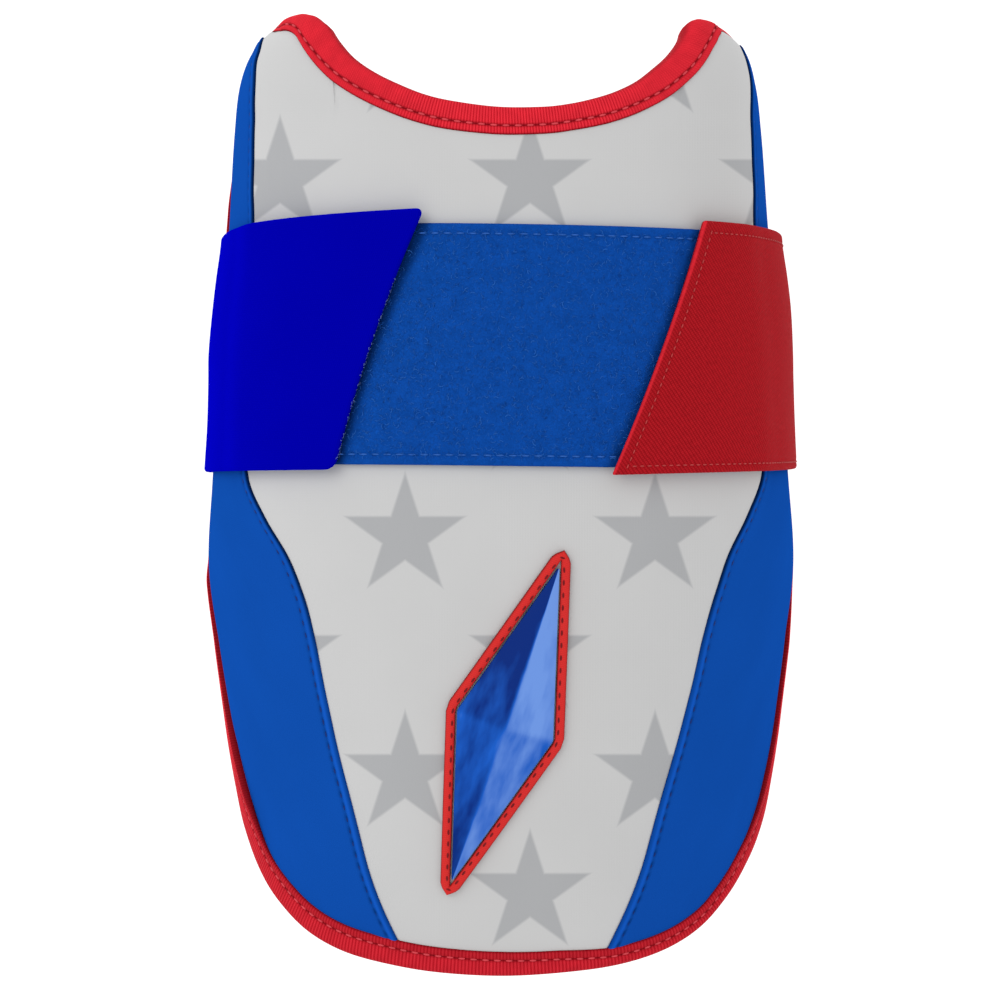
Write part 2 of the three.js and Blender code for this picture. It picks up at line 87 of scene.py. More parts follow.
LANDING_SPAN = (0.015, 0.985)  # shares across the landing between its ends' rounded edges
HEM_ROW = 2.7  # from the red strap's slanted end to its stitches
SELVEDGE_ROWS = (1.9, 2.8)  # from the red strap's lower and upper edge to their stitches
BACK_LEG = 6.8  # the tape's reach over the lining
TAPE_STEP = 0.6  # between the tape's sections
TAPE_LIFT = 0.62  # the tape's height over the skin
FOLD_REACH = 2.25  # of the tape's fold inside the rim
SHELL_END = 124  # the last stations of the sections
PANEL_INSET = 0.8  # of a panel's edge inside the rim, and under the side panels
LIGHT = 1.06  # the studio's light on a level face
EYE = 1050  # the camera's height
ROLL = 0.0075  # the camera's turn about its view
FLOOR_LEVEL = -0.0004  # in metres

# Columns and rows of the pieces' grids
FRONT_GRID = (112, 190)
SIDE_GRID = (66, 340)
LANDING_GRID = (160, 70)
FACE_GRID = (80, 40)
INLAY_GRID = (61, 150)
STRAP_ROWS = 64
STRAP_COLUMNS = (120, 14, 41)  # over the skin, round the lower corner and behind the arm

# Arched sections along the arm: station, half width, crown, widest line's height, hem's height, exponent
SECTIONS = np.array([
    (-124, 70, 52, -8, 8, 2.35),
    (-100, 69.4, 60, -12, 5.5, 2.35),
    (-78, 69.8, 67.5, -15, 3, 2.35),
    (-58, 71.8, 72, -13, 1, 2.35),
    (-38, 74, 75.5, -8, 0.3, 2.35),
    (-18, 75.6, 78.5, 0, 0.6, 2.35),
    (4, 73.8, 80, 9, 2.7, 2.35),
    (36, 71.4, 80, 12, 2.8, 2.35),
    (68, 68.9, 78.3, 12, 2.8, 2.35),
    (92, 66.6, 75.6, 20, 4, 2.8),
    (104, 64.2, 73.8, 28, 8, 3.4),
    (112, 59.7, 72.4, 34, 13, 3.8),
    (118, 51.9, 71, 39, 18, 4),
    (124, 40, 69.4, 43, 24, 4),
])

# The rim from the neck's middle down each side to the tip: share of the half wrap, station left and right
UPPER_RIM = [
    (0, 94.1, 94.1), (0.086, 95.6, 94), (0.139, 97.3, 94.7), (0.185, 99.9, 96), (0.224, 102.8, 97.7),
    (0.258, 106.3, 100.1), (0.286, 110.6, 103.5), (0.31, 114.2, 106.7), (0.336, 116.2, 111),
    (0.358, 117.4, 114.5), (0.385, 118.1, 116), (0.419, 118.4, 116.1), (0.463, 117.8, 115.3),
    (0.517, 116.2, 114.2), (0.592, 113.8, 112.4), (0.778, 110.9, 110.2), (0.902, 107.6, 107.2),
    (0.946, 102.4, 102.2), (0.973, 94.6, 94.6), (0.992, 83.5, 83.5), (1, 72, 72),
]
WING_RIM = [(1, 45, 45), (1, 18, 18), (1, -8, -8)]
LOWER_RIM = [
    (1, -36, -36), (0.997, -55, -55), (0.968, -68, -68), (0.9, -80.3, -80.3), (0.82, -89.1, -88.8),
    (0.743, -96.4, -95.3), (0.662, -102.4, -101.6), (0.558, -108.8, -108.6), (0.446, -113.3, -113.5),
    (0.316, -116.2, -116.7), (0.175, -118.2, -118.3), (0, -119.1, -119.1),
]

# The tape's inner edge on the front, opposite the upper rim's rows: turn and station, left and right
NECK_EDGE = [
    (0, 86.9, 0, 86.9), (-0.099, 88.3, 0.093, 87), (-0.161, 90.3, 0.15, 87.9), (-0.213, 93, 0.205, 89.3),
    (-0.26, 96.4, 0.25, 91.2), (-0.296, 100.1, 0.29, 93.7), (-0.318, 103.5, 0.327, 97),
    (-0.335, 106.6, 0.362, 102.2), (-0.346, 108.6, 0.392, 107.8), (-0.356, 110.3, 0.412, 110.3),
    (-0.369, 112, 0.423, 111.4), (-0.388, 113.2, 0.434, 112.1), (-0.413, 113.8, 0.441, 112.4),
    (-0.443, 113.7, 0.45, 112.6),
]
# Rows from the neck's middle to where that edge ends, right and left
NECK_ROWS = (11.3, 12.1)
# How far the tape reaches over the front at the tip: turn and distance
TIP_LEGS = np.array([
    (-0.8, 8.4), (-0.6, 7.9), (-0.3, 7.5), (0, 7.05), (0.15, 6.6), (0.3, 5.4), (0.6, 5.3), (0.75, 6.4),
])

# The seams between the front and the side panels: station, share of the half wrap left and right
SEAM = np.array([
    (-124, 0.205, 0.215), (-108.5, 0.293, 0.3), (-98.5, 0.339, 0.348), (-88.5, 0.37, 0.383),
    (-68.7, 0.406, 0.428), (-49, 0.4215, 0.456), (-34.3, 0.4245, 0.466), (-24.5, 0.43, 0.4755),
    (-14.8, 0.4555, 0.498), (-5, 0.5135, 0.552), (5, 0.567, 0.606), (34, 0.597, 0.64), (73, 0.585, 0.643),
    (84, 0.5545, 0.61), (95, 0.517, 0.573), (102, 0.488, 0.5555), (107, 0.4845, 0.549),
    (110.5, 0.488, 0.565), (113.5, 0.54, 0.66), (118, 0.74, 0.8), (124, 0.95, 0.95),
])

# Each strap's slanted end on the front: side, x at its lower and upper corner, sideways bow, the upper
# corner's rise and the lower one's drop, the rounding of both, and the strap's height over the wing
STRAP_ENDS = {
    "blue": {"side": -1, "low": -38.6, "high": -17.2, "bow": -1.5, "flare": 3.4, "dip": 0,
             "rounds": (2.4, 1.9), "rise": 1.05},
    "red": {"side": 1, "low": 26, "high": 47.8, "bow": 1.15, "flare": 0.8, "dip": 1.8,
            "rounds": (0.5, 0.6), "rise": 1.4},
}
# How the straps' sides sway out and in between their lower and upper edge: share of the width, then the
# added height over the wing of the blue and the red one
STRAP_SWAY = np.array([
    (-0.2, -0.8, -1.2), (0, -0.8, -1.05), (0.2, -0.85, -0.7), (0.38, -0.45, -0.2), (0.5, -0.05, 0.25),
    (0.68, -0.25, 0.65), (0.82, -0.6, 0.45), (0.94, -1.1, 0), (1, -1.2, 0), (1.2, -1.2, 0),
])

# Half of the tape's profile. Its first part runs from the inner edge over the stitched groove, as distance
# from that edge and height over the skin; the second is the fold, as distance from the rim and height.
TAPE_EDGE = [
    (0.16, -0.35), (0, 0.02), (0.12, 0.36), (0.48, 0.56), (1.05, TAPE_LIFT), (1.6, 0.52), (2, 0.32),
    (TAPE_ROW, 0.24), (2.5, 0.34), (2.9, 0.54),
]
TAPE_FOLD = [(2.2, 0.66), (1.4, 0.55), (0.7, 0.14), (0.24, -0.62), (0, -1.7)]


def smooth(x, low, high):
    t = np.clip((x - low) / (high - low), 0, 1)
    return t * t * (3 - 2 * t)


def bell(x, width):
    return np.exp(-((x / width) ** 2))


def dot(a, b):
    return (a * b).sum(-1)


def unit(vectors):
    return vectors / np.linalg.norm(vectors, axis=-1, keepdims=True)


def along(table, y):
    """A table's other columns at stations y, on smooth curves through its rows."""
    stations, values = table[:, 0], table[:, 1:]
    rows = np.arange(len(table))
    before, after = np.maximum(rows - 1, 0), np.minimum(rows + 1, len(table) - 1)
    slopes = (values[after] - values[before]) / (stations[after] - stations[before])[:, None]
    at = np.clip(y, stations[0], stations[-1])
    i = np.clip(np.searchsorted(stations, at) - 1, 0, len(table) - 2)
    span = stations[i + 1] - stations[i]
    t = ((at - stations[i]) / span)[..., None]
    ease = t * t * (3 - 2 * t)
    pull = span[..., None] * t * (1 - t) * ((1 - t) * slopes[i] - t * slopes[i + 1])
    return values[i] * (1 - ease) + values[i + 1] * ease + pull


def section(y):
    half_width, crown, waist, hem, power = np.moveaxis(along(SECTIONS, y), -1, 0)
    rise = crown - waist
    drop = (hem - waist) / rise
    hem_angle = np.arctan2((1 - np.abs(drop) ** power) ** (1 / power), drop)
    return half_width, waist, rise, power, hem_angle


def bare_skin(turn, y):
    """Points of the shell's skin at shares of the half wrap and stations."""
    turn, y = np.broadcast_arrays(np.asarray(turn, float), np.asarray(y, float))
    half_width, waist, rise, power, hem_angle = section(y)
    across, above = np.sin(turn * hem_angle), np.cos(turn * hem_angle)
    reach = (np.abs(across) ** power + np.abs(above) ** power) ** (-1 / power)
    return np.stack([half_width * across * reach, y, waist + rise * above * reach], -1)


def skin_slopes(turn, y):
    around = (bare_skin(turn + 0.002, y) - bare_skin(turn - 0.002, y)) / 0.004
    lengthwise = (bare_skin(turn, y + 0.2) - bare_skin(turn, y - 0.2)) / 0.4
    return around, lengthwise


def skin_normal(turn, y):
    return unit(np.cross(*skin_slopes(turn, y)))


def skin(turn, y, lift):
    return bare_skin(turn, y) + skin_normal(turn, y) * np.asarray(lift, float)[..., None]


def turn_under(x, y):
    """Shares of the half wrap under places x, y on the front."""
    half_width, _, _, power, hem_angle = section(y)
    across = np.minimum(1, np.abs(x) / half_width)
    return np.sign(x) * np.arctan2(across, (1 - across ** power) ** (1 / power)) / hem_angle


def bisect(rises, low, high):
    for _ in range(40):
        middle = (low + high) / 2
        over = rises(middle) > 0
        low, high = np.where(over, low, middle), np.where(over, middle, high)
    return (low + high) / 2


def seam_turn(side, y):
    return along(SEAM, y)[..., 0 if side < 0 else 1]


HALF_RIM = UPPER_RIM + WING_RIM + LOWER_RIM
RIM_POINTS = np.array(
    [(turn, right) for turn, _, right in HALF_RIM]
    + [(-turn, left) for turn, left, _ in HALF_RIM[-2:0:-1]]
)
EDGE_POINTS = RIM_POINTS.copy()
for edge_row, (*edge_left, edge_turn, edge_y) in enumerate(NECK_EDGE):
    EDGE_POINTS[-edge_row] = edge_left
    EDGE_POINTS[edge_row] = edge_turn, edge_y


def rim(row, points=RIM_POINTS):
    """Turn and station at rows of a closed line, counted from the neck's middle to the right."""
    row = np.asarray(row, float)
    i = np.floor(row).astype(int)
    t = (row - i)[..., None]
    a, b, c, d = (points[(i + k) % len(points)] for k in (-1, 0, 1, 2))
    pull_b, pull_c = (c - a) / 2, (d - b) / 2
    place = b + t * pull_b + t ** 2 * (3 * (c - b) - 2 * pull_b - pull_c)
    place = place + t ** 3 * (2 * (b - c) + pull_b + pull_c)
    return place[..., 0], place[..., 1]


def rim_station(turn, first, last, inset):
    """The station at signed turns of a line inside the rim, between two rows of its half table."""
    rows = np.linspace(first, last, 40 * (last - first) + 1)
    found = []
    for side in (-1, 1):
        turns, stations = rim(side * rows)
        run = np.abs(np.gradient(stations)) / np.maximum(np.abs(np.gradient(turns)) * AROUND, 1e-6)
        stations = stations + inset * np.minimum(np.sqrt(1 + run ** 2), 3)
        order = np.argsort(np.abs(turns), kind="stable")
        found.append(np.interp(np.abs(turn), np.abs(turns)[order], stations[order]))
    return np.where(turn < 0, *found)


def upper_rim(turn, inset):
    return rim_station(turn, 0, len(UPPER_RIM) - 1, -inset)


def lower_rim(turn, inset):
    return rim_station(turn, len(UPPER_RIM) + len(WING_RIM), len(HALF_RIM) - 1, inset)


def run_length(points):
    """Distances along the last but one axis of rows of points."""
    steps = np.linalg.norm(np.diff(points, axis=-2), axis=-1)
    return np.concatenate([np.zeros(steps.shape[:-1] + (1,)), np.cumsum(steps, -1)], -1)


def wing_swell(turn, y):
    """How far a wing is drawn in beside its tape, and how far the tape stands off the skin there."""
    left = turn < 0
    shown = np.where(left, smooth(-y, 14, 22), smooth(-y, 21, 40))
    below = shown * (1 - smooth(-y, 76, 98))
    side = smooth(np.abs(turn), 0.55, 0.8)
    drawn_in = np.where(left, 1.2, 0.35) * below * side
    sunk = 0.6 * (1 - shown) * (1 - smooth(y, 8, 20)) * smooth(np.abs(turn), 0.85, 0.97)
    over_strap = 0.7 * left * smooth(y, 60, 66) * (1 - smooth(y, 74, 90)) * smooth(np.abs(turn), 0.85, 0.97)
    return drawn_in + sunk, np.where(left, 0.1, 0.35) * below * side - sunk + over_strap


def rim_frames(step):
    """Evenly spaced places round the rim, from the back of the right wing: turn, station, turns and stations
    per millimetre outwards, the way out of the wall, the distance run, and the tape's edge, front leg and
    how far it is drawn back."""
    fine = len(UPPER_RIM) + np.linspace(0, len(RIM_POINTS), 6401)
    lengths = run_length(skin(*rim(fine), -WALL / 2))
    count = round(lengths[-1] / step)
    run = lengths[-1] * np.arange(count) / count
    row = np.interp(run, lengths, fine)
    turn, y = rim(row)
    gap = len(RIM_POINTS) / 1600
    ahead = skin(*rim(row + gap), -WALL / 2) - skin(*rim(row - gap), -WALL / 2)
    out = unit(np.cross(skin_normal(turn, y), ahead))
    around, lengthwise = skin_slopes(turn, y)
    aa, bb, ab = dot(around, around), dot(lengthwise, lengthwise), dot(around, lengthwise)
    area = aa * bb - ab * ab
    turns = (dot(out, around) * bb - dot(out, lengthwise) * ab) / area
    stations = (dot(out, lengthwise) * aa - dot(out, around) * ab) / area
    # The tape's inner edge is laid out by its own rows at the neck and by its reach elsewhere. It is drawn
    # back behind the shoulders.
    half = len(RIM_POINTS) / 2
    signed = (row + half) % len(RIM_POINTS) - half
    side = np.abs(turn)
    past = np.abs(signed) - np.where(signed > 0, *NECK_ROWS)
    drawn = (y > 0) * (smooth(past, 0, 1.2) - smooth(side, 0.8, 0.95))
    tip = np.interp(turn, *TIP_LEGS.T)
    reach = (tip + smooth(y, 10, 50) * (BACK_LEG - tip)) * (1 - drawn) + 2 * drawn
    neck = 1 - smooth(past, 0.2, 1.2)
    edge = [neck * own + (1 - neck) * (at - reach * slope)
            for own, at, slope in zip(rim(row, EDGE_POINTS), (turn, y), (turns, stations))]
    leg = np.linalg.norm(bare_skin(*edge) - bare_skin(turn, y), axis=-1)
    return {"turn": turn, "y": y, "turns": turns, "stations": stations, "out": out, "run": run, "edge": edge,
            "leg": leg, "drawn": drawn}


def on_leg(frames, inside, lift):
    """Points of the tape's front leg a distance inside the rim, at a height over the skin."""
    share = inside / frames["leg"]
    turn, y = (at + share * (edge - at) for at, edge in zip((frames["turn"], frames["y"]), frames["edge"]))
    return skin(turn, y, lift), skin_normal(turn, y)


def at_rim(frames, inside, lift):
    """Points a distance inside the rim, at a height over the skin, with the skin's way out."""
    turn = frames["turn"] - max(0, inside) * frames["turns"]
    y = frames["y"] - max(0, inside) * frames["stations"]
    return skin(turn, y, lift) + frames["out"] * max(0, -inside), skin_normal(turn, y)


def crowded(count, power):
    """Shares from 0 to 1 that draw closer towards both ends."""
    t = np.linspace(-1, 1, count)
    return (1 + np.sign(t) * (1 - (1 - np.abs(t)) ** power)) / 2


# Meshes from grids of points

def placed(name, data):
    """An object of its own in the scene."""
    made = bpy.data.objects.new(name, data)
    bpy.context.scene.collection.objects.link(made)
    return made


def paired(u, v):
    """Two values at each point of a grid, such as its UV."""
    return np.stack(np.broadcast_arrays(u, v), -1)


def grid_faces(rows, columns, first=0):
    at = first + np.arange(rows * columns).reshape(rows, columns)
    return np.stack([at[:-1, :-1], at[:-1, 1:], at[1:, 1:], at[1:, :-1]], -1).reshape(-1, 4)


def mesh_piece(name, points, faces, uv, marks):
    """A mesh object in the guard's frame, with its UV map in millimetres and its point values."""
    mesh = bpy.data.meshes.new(name)
    mesh.from_pydata((points.reshape(-1, 3) * MM).tolist(), [], faces.tolist())
    layer = mesh.uv_layers.new(name="weave")
    corner_uv = uv.reshape(-1, 2)[faces.reshape(-1)] / UV_MM
    layer.data.foreach_set("uv", corner_uv.astype(np.float32).ravel())
    for mark, values in marks.items():
        held = mesh.attributes.new(mark, "FLOAT", "POINT")
        held.data.foreach_set("value", values.astype(np.float32).ravel())
    mesh.shade_smooth()
    return placed(name, mesh)


def closed_sheet(name, top, bottom, uv, flip=False, **marks):
    """A closed piece between two grids, with rows upwards and columns to the right seen from outside, or to
    the left if it is flipped. A mark is given for the top grid and is zero below."""
    if flip:
        top, bottom, uv = (grid[:, ::-1] for grid in (top, bottom, uv))
        marks = {mark: grid[:, ::-1] for mark, grid in marks.items()}
    rows, columns = top.shape[:2]
    count = rows * columns
    at = np.arange(count).reshape(rows, columns)
    ring = np.concatenate([at[0, :-1], at[:-1, -1], at[-1, :0:-1], at[:0:-1, 0]])
    after = np.roll(ring, -1)
    faces = np.concatenate([
        grid_faces(rows, columns),
        grid_faces(rows, columns, count)[:, ::-1],
        np.stack([ring, ring + count, after + count, after], -1),
    ])
    points = np.concatenate([top.reshape(-1, 3), bottom.reshape(-1, 3)])
    doubled = {mark: np.concatenate([v.ravel(), np.zeros(count)]) for mark, v in marks.items()}
    return mesh_piece(name, points, faces, np.concatenate([uv.reshape(-1, 2)] * 2), doubled)


def closed_ring(name, points, uv, **marks):
    """A closed ring from sections round it, points[section, corner]."""
    sections, corners = points.shape[:2]
    at = np.arange(sections * corners).reshape(sections, corners)
    on, turned = np.roll(at, -1, 0), np.roll(at, -1, 1)
    both = np.roll(on, -1, 1)
    faces = np.stack([at, on, both, turned], -1).reshape(-1, 4)
    return mesh_piece(name, points, faces, uv, marks)


def settle(piece, slot, node=None, material=None):
    """Gives a piece its slot's finish or another one, and fixes it to the guard."""
    piece.data.materials.clear()
    piece.data.materials.append(material or finish(slot))
    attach(piece, "root")
    if node:
        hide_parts(node)
    return piece


# Node trees

class Wire:
    """An output of a node, with which sums are written."""

    def __init__(self, socket):
        self.socket = socket

    def __getitem__(self, key):
        return Wire(self.socket.node.outputs[key])

    def maths(self, operation, *others):
        values = dict(enumerate((self, *others)))
        return put(self.socket.id_data, "ShaderNodeMath", values, operation=operation)

    __add__ = partialmethod(maths, "ADD")
    __sub__ = partialmethod(maths, "SUBTRACT")
    __mul__ = partialmethod(maths, "MULTIPLY")
    __truediv__ = partialmethod(maths, "DIVIDE")
    __pow__ = partialmethod(maths, "POWER")
    __abs__ = partialmethod(maths, "ABSOLUTE")
    sine = partialmethod(maths, "SINE")


def put(tree, kind, ins=None, **settings):
    """A node with its settings and inputs, as the wire of its first output."""
    made = tree.nodes.new(kind)
    for key, value in settings.items():
        setattr(made, key, value)
    for key, value in (ins or {}).items():
        if isinstance(value, Wire):
            tree.links.new(value.socket, made.inputs[key])
        else:
            made.inputs[key].default_value = value
    return Wire(made.outputs[0])


def scaled(tree, vector, scale):
    return put(tree, "ShaderNodeVectorMath", {0: vector, "Scale": scale}, operation="SCALE")


def parted(tree, vector):
    return put(tree, "ShaderNodeSeparateXYZ", {0: vector})


def hump(wire):
    """Rounded humps of height 1, one to each unit."""
    return abs((wire * math.pi).sine())


def mark(tree, name):
    """A value that the piece's points hold."""
    return put(tree, "ShaderNodeAttribute", attribute_name=name)["Fac"]


def blended(tree, share, first, second):
    """A colour between two others."""
    return put(tree, "ShaderNodeMix", {"Factor": share, 6: first, 7: second}, data_type="RGBA")[2]


def rgba(colour, level=1.0):
    return (*(c * level for c in colour), 1.0)


def build_tone(tree, place, colour, patch, spread):
    """Cloth's slow change of colour."""
    noise = put(tree, "ShaderNodeTexNoise", {"Vector": place, "Scale": patch ** -1.0, "Detail": 3.0})
    return scaled(tree, colour, (noise - 0.5) * spread * 4.0 + 1.0)


def build_knit(tree, place, pitch):
    """Fine jersey knit: columns of slanting loops."""
    cut = parted(tree, scaled(tree, place, pitch ** -1.0))
    loop = ((cut[1] + cut[0].maths("PINGPONG", 0.5)) * (2 * math.pi)).sine()
    return hump(cut[0]) * (loop * 0.3 + 0.7)


def build_twill(tree, place, pitch, lean):
    """Diagonal twill: slanting ribs of floats, each crossed by finer yarns."""
    noise = put(tree, "ShaderNodeTexNoise", {"Vector": place, "Scale": 0.35, "Detail": 1.0})
    turned = {"Vector": place, "Angle": lean * -1.0}
    cut = parted(tree, put(tree, "ShaderNodeVectorRotate", turned, rotation_type="Z_AXIS"))
    across = cut[0] / pitch + noise * 0.7
    yarn = cut[1] / pitch + across.maths("FLOOR") * 0.5
    return hump(across) ** 0.7 * (hump(yarn) * 0.62 + 0.38)


def build_fuzz(tree, place, size):
    """Brushed pile: short tangled streaks of light and shade."""
    return put(tree, "ShaderNodeTexNoise", {
        "Vector": place, "Scale": size ** -1.0, "Detail": 4.0, "Roughness": 0.65, "Distortion": 1.6,
    })


def build_star(tree, x, y, cell_width, cell_height, radius):
    """How far a place lies inside the nearest five-pointed star of a lattice."""
    x, y = (at.maths("WRAP", cell * 0.5, cell * -0.5) for at, cell in ((x, cell_width), (y, cell_height)))
    angle = abs(x.maths("ARCTAN2", y).maths("WRAP", math.pi / 5, -math.pi / 5))
    # The arm's edge runs from a tip to a valley at 0.382 of the radius
    lean = (angle - math.radians(72)).maths("COSINE")
    return radius * math.cos(math.radians(72)) - (x * x + y * y) ** 0.5 * lean


def build_star_print(tree, place, start_x, start_y, cell_width, cell_height, radius):
    """Stars in half-drop rows, as a mask with printed edges."""
    cut = parted(tree, place)
    first, second = (
        grouped(tree, "Star", cut[0] - start_x + cell_width * shift, cut[1] - start_y + cell_height * shift,
                cell_width, cell_height, radius)
        for shift in (0.0, 0.5)
    )
    return put(tree, "ShaderNodeClamp", {0: first.maths("MAXIMUM", second) * 1.4 + 0.5})


def instances(tree, points, instance, rotation, scale):
    return put(tree, "GeometryNodeInstanceOnPoints", {
        "Points": points, "Instance": instance, "Rotation": rotation, "Scale": scale,
    })


def realized(tree, rows, material):
    made = put(tree, "GeometryNodeRealizeInstances", {0: rows})
    return put(tree, "GeometryNodeSetMaterial", {0: made, "Material": material})


def build_stitches(tree, path, pitch, length, width, height, material):
    """Thread stitches, evenly spaced along a path of points that hold the cloth's way out."""
    line = put(tree, "GeometryNodeMeshToCurve", {0: path})
    even = put(tree, "GeometryNodeResampleCurve", {"Curve": line, "Length": pitch}, mode="LENGTH")
    outward = put(tree, "GeometryNodeInputNamedAttribute", {"Name": "outward"}, data_type="FLOAT_VECTOR")
    axes = {"Primary Axis": outward, "Secondary Axis": put(tree, "GeometryNodeInputTangent")}
    turned = put(tree, "FunctionNodeAxesToRotation", axes, primary_axis="Z", secondary_axis="X")
    thread = put(tree, "GeometryNodeMeshUVSphere", {"Segments": 8, "Rings": 6, "Radius": 0.5})
    size = put(tree, "ShaderNodeCombineXYZ", {0: length, 1: width, 2: height})
    return realized(tree, instances(tree, even, thread, turned, size), material)


def build_pile(tree, face, density, seed, curl, thickness, material):
    """Short curled fibres, scattered over a face."""
    spots = put(tree, "GeometryNodeDistributePointsOnFaces", {
        "Mesh": face, "Density": density, "Seed": seed,
    })
    arc = put(tree, "GeometryNodeCurveArc", {
        "Resolution": 4, "Radius": curl, "Start Angle": -1.0, "Sweep Angle": 2.0,
    })
    ring = put(tree, "GeometryNodeCurvePrimitiveCircle", {"Resolution": 3, "Radius": thickness})
    fibre = put(tree, "GeometryNodeCurveToMesh", {"Curve": arc, "Profile Curve": ring})
    tilt = put(tree, "FunctionNodeRandomValue", {
        "Min": (-0.5, -0.5, 0.0), "Max": (0.5, 0.5, 2 * math.pi), "Seed": 11,
    }, data_type="FLOAT_VECTOR")
    lie = put(tree, "FunctionNodeRotateRotation", {
        "Rotation": spots["Rotation"], "Rotate By": put(tree, "FunctionNodeEulerToRotation", {0: tilt}),
    }, rotation_space="LOCAL")
    size, shade = (
        put(tree, "FunctionNodeRandomValue", {2: least, 3: most, "Seed": draw}, data_type="FLOAT")[1]
        for least, most, draw in ((0.6, 1.5, 12), (0.0, 1.0, 13))
    )
    rows = put(tree, "GeometryNodeStoreNamedAttribute", {
        "Geometry": instances(tree, spots, fibre, lie, size), "Name": "shade", "Value": shade,
    }, data_type="FLOAT", domain="INSTANCE")
    return realized(tree, rows, material)


# Node groups: what builds each, its inputs in order, and its output
STAR_SIZES = ("Cell Width", "Cell Height", "Radius")
STITCH_SIZES = ("Pitch", "Length", "Width", "Height")
PILE_SIZES = ("Density", "Seed", "Curl", "Thickness")
GROUPS = {
    "Cloth tone": (build_tone, ("Place", "Colour", "Patch", "Spread"), "Colour"),
    "Knit": (build_knit, ("Place", "Pitch"), "Height"),
    "Twill": (build_twill, ("Place", "Pitch", "Lean"), "Height"),
    "Fuzz": (build_fuzz, ("Place", "Size"), "Height"),
    "Star": (build_star, ("X", "Y", *STAR_SIZES), "Inside"),
    "Star print": (build_star_print, ("Place", "Start X", "Start Y", *STAR_SIZES), "Mask"),
    "Stitch row": (build_stitches, ("Geometry", *STITCH_SIZES, "Material"), "Geometry"),
    "Loop pile": (build_pile, ("Geometry", *PILE_SIZES, "Material"), "Geometry"),
}
SOCKETS = {
    "Place": "Vector", "Colour": "Color", "Geometry": "Geometry", "Material": "Material", "Seed": "Int",
}


def node_group(name, kind="ShaderNodeTree"):
    """A node group, built at its first use."""
    tree = bpy.data.node_groups.get(name)
    if tree is None:
        tree = bpy.data.node_groups.new(name, kind)
        build, ins, out = GROUPS[name]
        for in_out, names in (("INPUT", ins), ("OUTPUT", (out,))):
            for key in names:
                socket_type = "NodeSocket" + SOCKETS.get(key, "Float")
                tree.interface.new_socket(key, in_out=in_out, socket_type=socket_type)
        start = tree.nodes.new("NodeGroupInput").outputs[:len(ins)]
        made = build(tree, *(Wire(socket) for socket in start))
        tree.links.new(made.socket, tree.nodes.new("NodeGroupOutput").inputs[0])
    return tree


def grouped(tree, name, *values):
    return put(tree, "ShaderNodeGroup", dict(zip(GROUPS[name][1], values)), node_tree=node_group(name))


def grown(source, name, group, *values):
    """What a node group makes of a mesh object, as a plain mesh object of its own."""
    tree = node_group(group, "GeometryNodeTree")
    modifier = source.modifiers.new(group, "NODES")
    modifier.node_group = tree
    ins = [item for item in tree.interface.items_tree if item.in_out == "INPUT"]
    for item, value in zip(ins[1:], values):
        modifier[item.identifier] = value
    bpy.context.view_layer.update()
    made = bpy.data.meshes.new_from_object(
        source.evaluated_get(bpy.context.evaluated_depsgraph_get())
    )
    source.modifiers.remove(modifier)
    bpy.data.objects.remove(source)
    made.name = name
    made.shade_smooth()
    return placed(name, made)


# Finishes: each paint gives a cloth's colour, and the height of its weave if it has one

def printed_paint(tree, place, colours):
    keys = ("star_x", "star_y", "star_cell_width", "star_cell_height", "star_radius")
    sizes = bpy.context.scene.guard_sizes
    stars = grouped(tree, "Star print", place, *(getattr(sizes, key) / MM for key in keys))
    cloth = blended(tree, stars * mark(tree, "printed"), rgba(colours.panel), rgba(colours.star))
    return cloth, grouped(tree, "Knit", place, 0.7)


def wing_paint(tree, place, colours):
    # The fold mark darkens the blue as painted shade along the seam's folded edge and stitch groove
    shaded = blended(tree, mark(tree, "fold"), rgba(colours.wing), rgba(colours.wing, 0.2))
    # The crest mark lightens the fold's crest as painted highlight
    crest = blended(tree, mark(tree, "crest"), shaded, rgba(colours.wing_fold_highlight))
    return crest, grouped(tree, "Knit", place, 0.7)


def tape_paint(tree, place, colours):
    wave = (mark(tree, "ribs") * (2 * math.pi)).sine() * mark(tree, "ribbed")
    weave = grouped(tree, "Twill", place, 0.45, 0.2)
    # The raised yarns' lighter colour is a painted highlight and the sunk yarns' darker one painted shade,
    # laid out along the real weave and ribs
    flank = weave * 0.35 + wave * 0.36 + 0.32
    ribs = blended(tree, flank, rgba(colours.tape), rgba(colours.tape_rib_highlight))
    # The shade mark darkens the ribs as painted shade along the tape's edges, groove and fold, and below the
    # wings
    return blended(tree, mark(tree, "shade"), ribs, rgba(colours.tape, 0.3)), wave * 0.5 + weave


def pile_paint(tree, place, colours):
    fuzz = grouped(tree, "Fuzz", place, 0.6)
    pile = blended(tree, fuzz, rgba(colours.pile, 0.5), rgba(colours.pile, 1.7))
    # The shade mark darkens the pile as painted shadow of the straps' ends
    return blended(tree, mark(tree, "shade"), pile, rgba(colours.pile, 0.2)), fuzz


def fibre_paint(tree, place, colours):
    return blended(tree, mark(tree, "shade"), rgba(colours.pile, 0.9), rgba(colours.pile_tip)), None


def blue_strap_paint(tree, place, colours):
    knit = grouped(tree, "Knit", place, 0.55)
    return blended(tree, knit, rgba(colours.blue_strap, 0.9), rgba(colours.blue_strap, 1.08)), knit


def red_strap_paint(tree, place, colours):
    twill = grouped(tree, "Twill", place, 0.64, 0.9)
    # The raised yarns' lighter colour is a painted highlight and the sunk yarns' darker one painted shade,
    # laid out along the real twill
    yarn = blended(tree, twill, rgba(colours.red_strap), rgba(colours.red_yarn_highlight))
    return blended(tree, mark(tree, "band"), yarn, rgba(colours.red_band)), twill


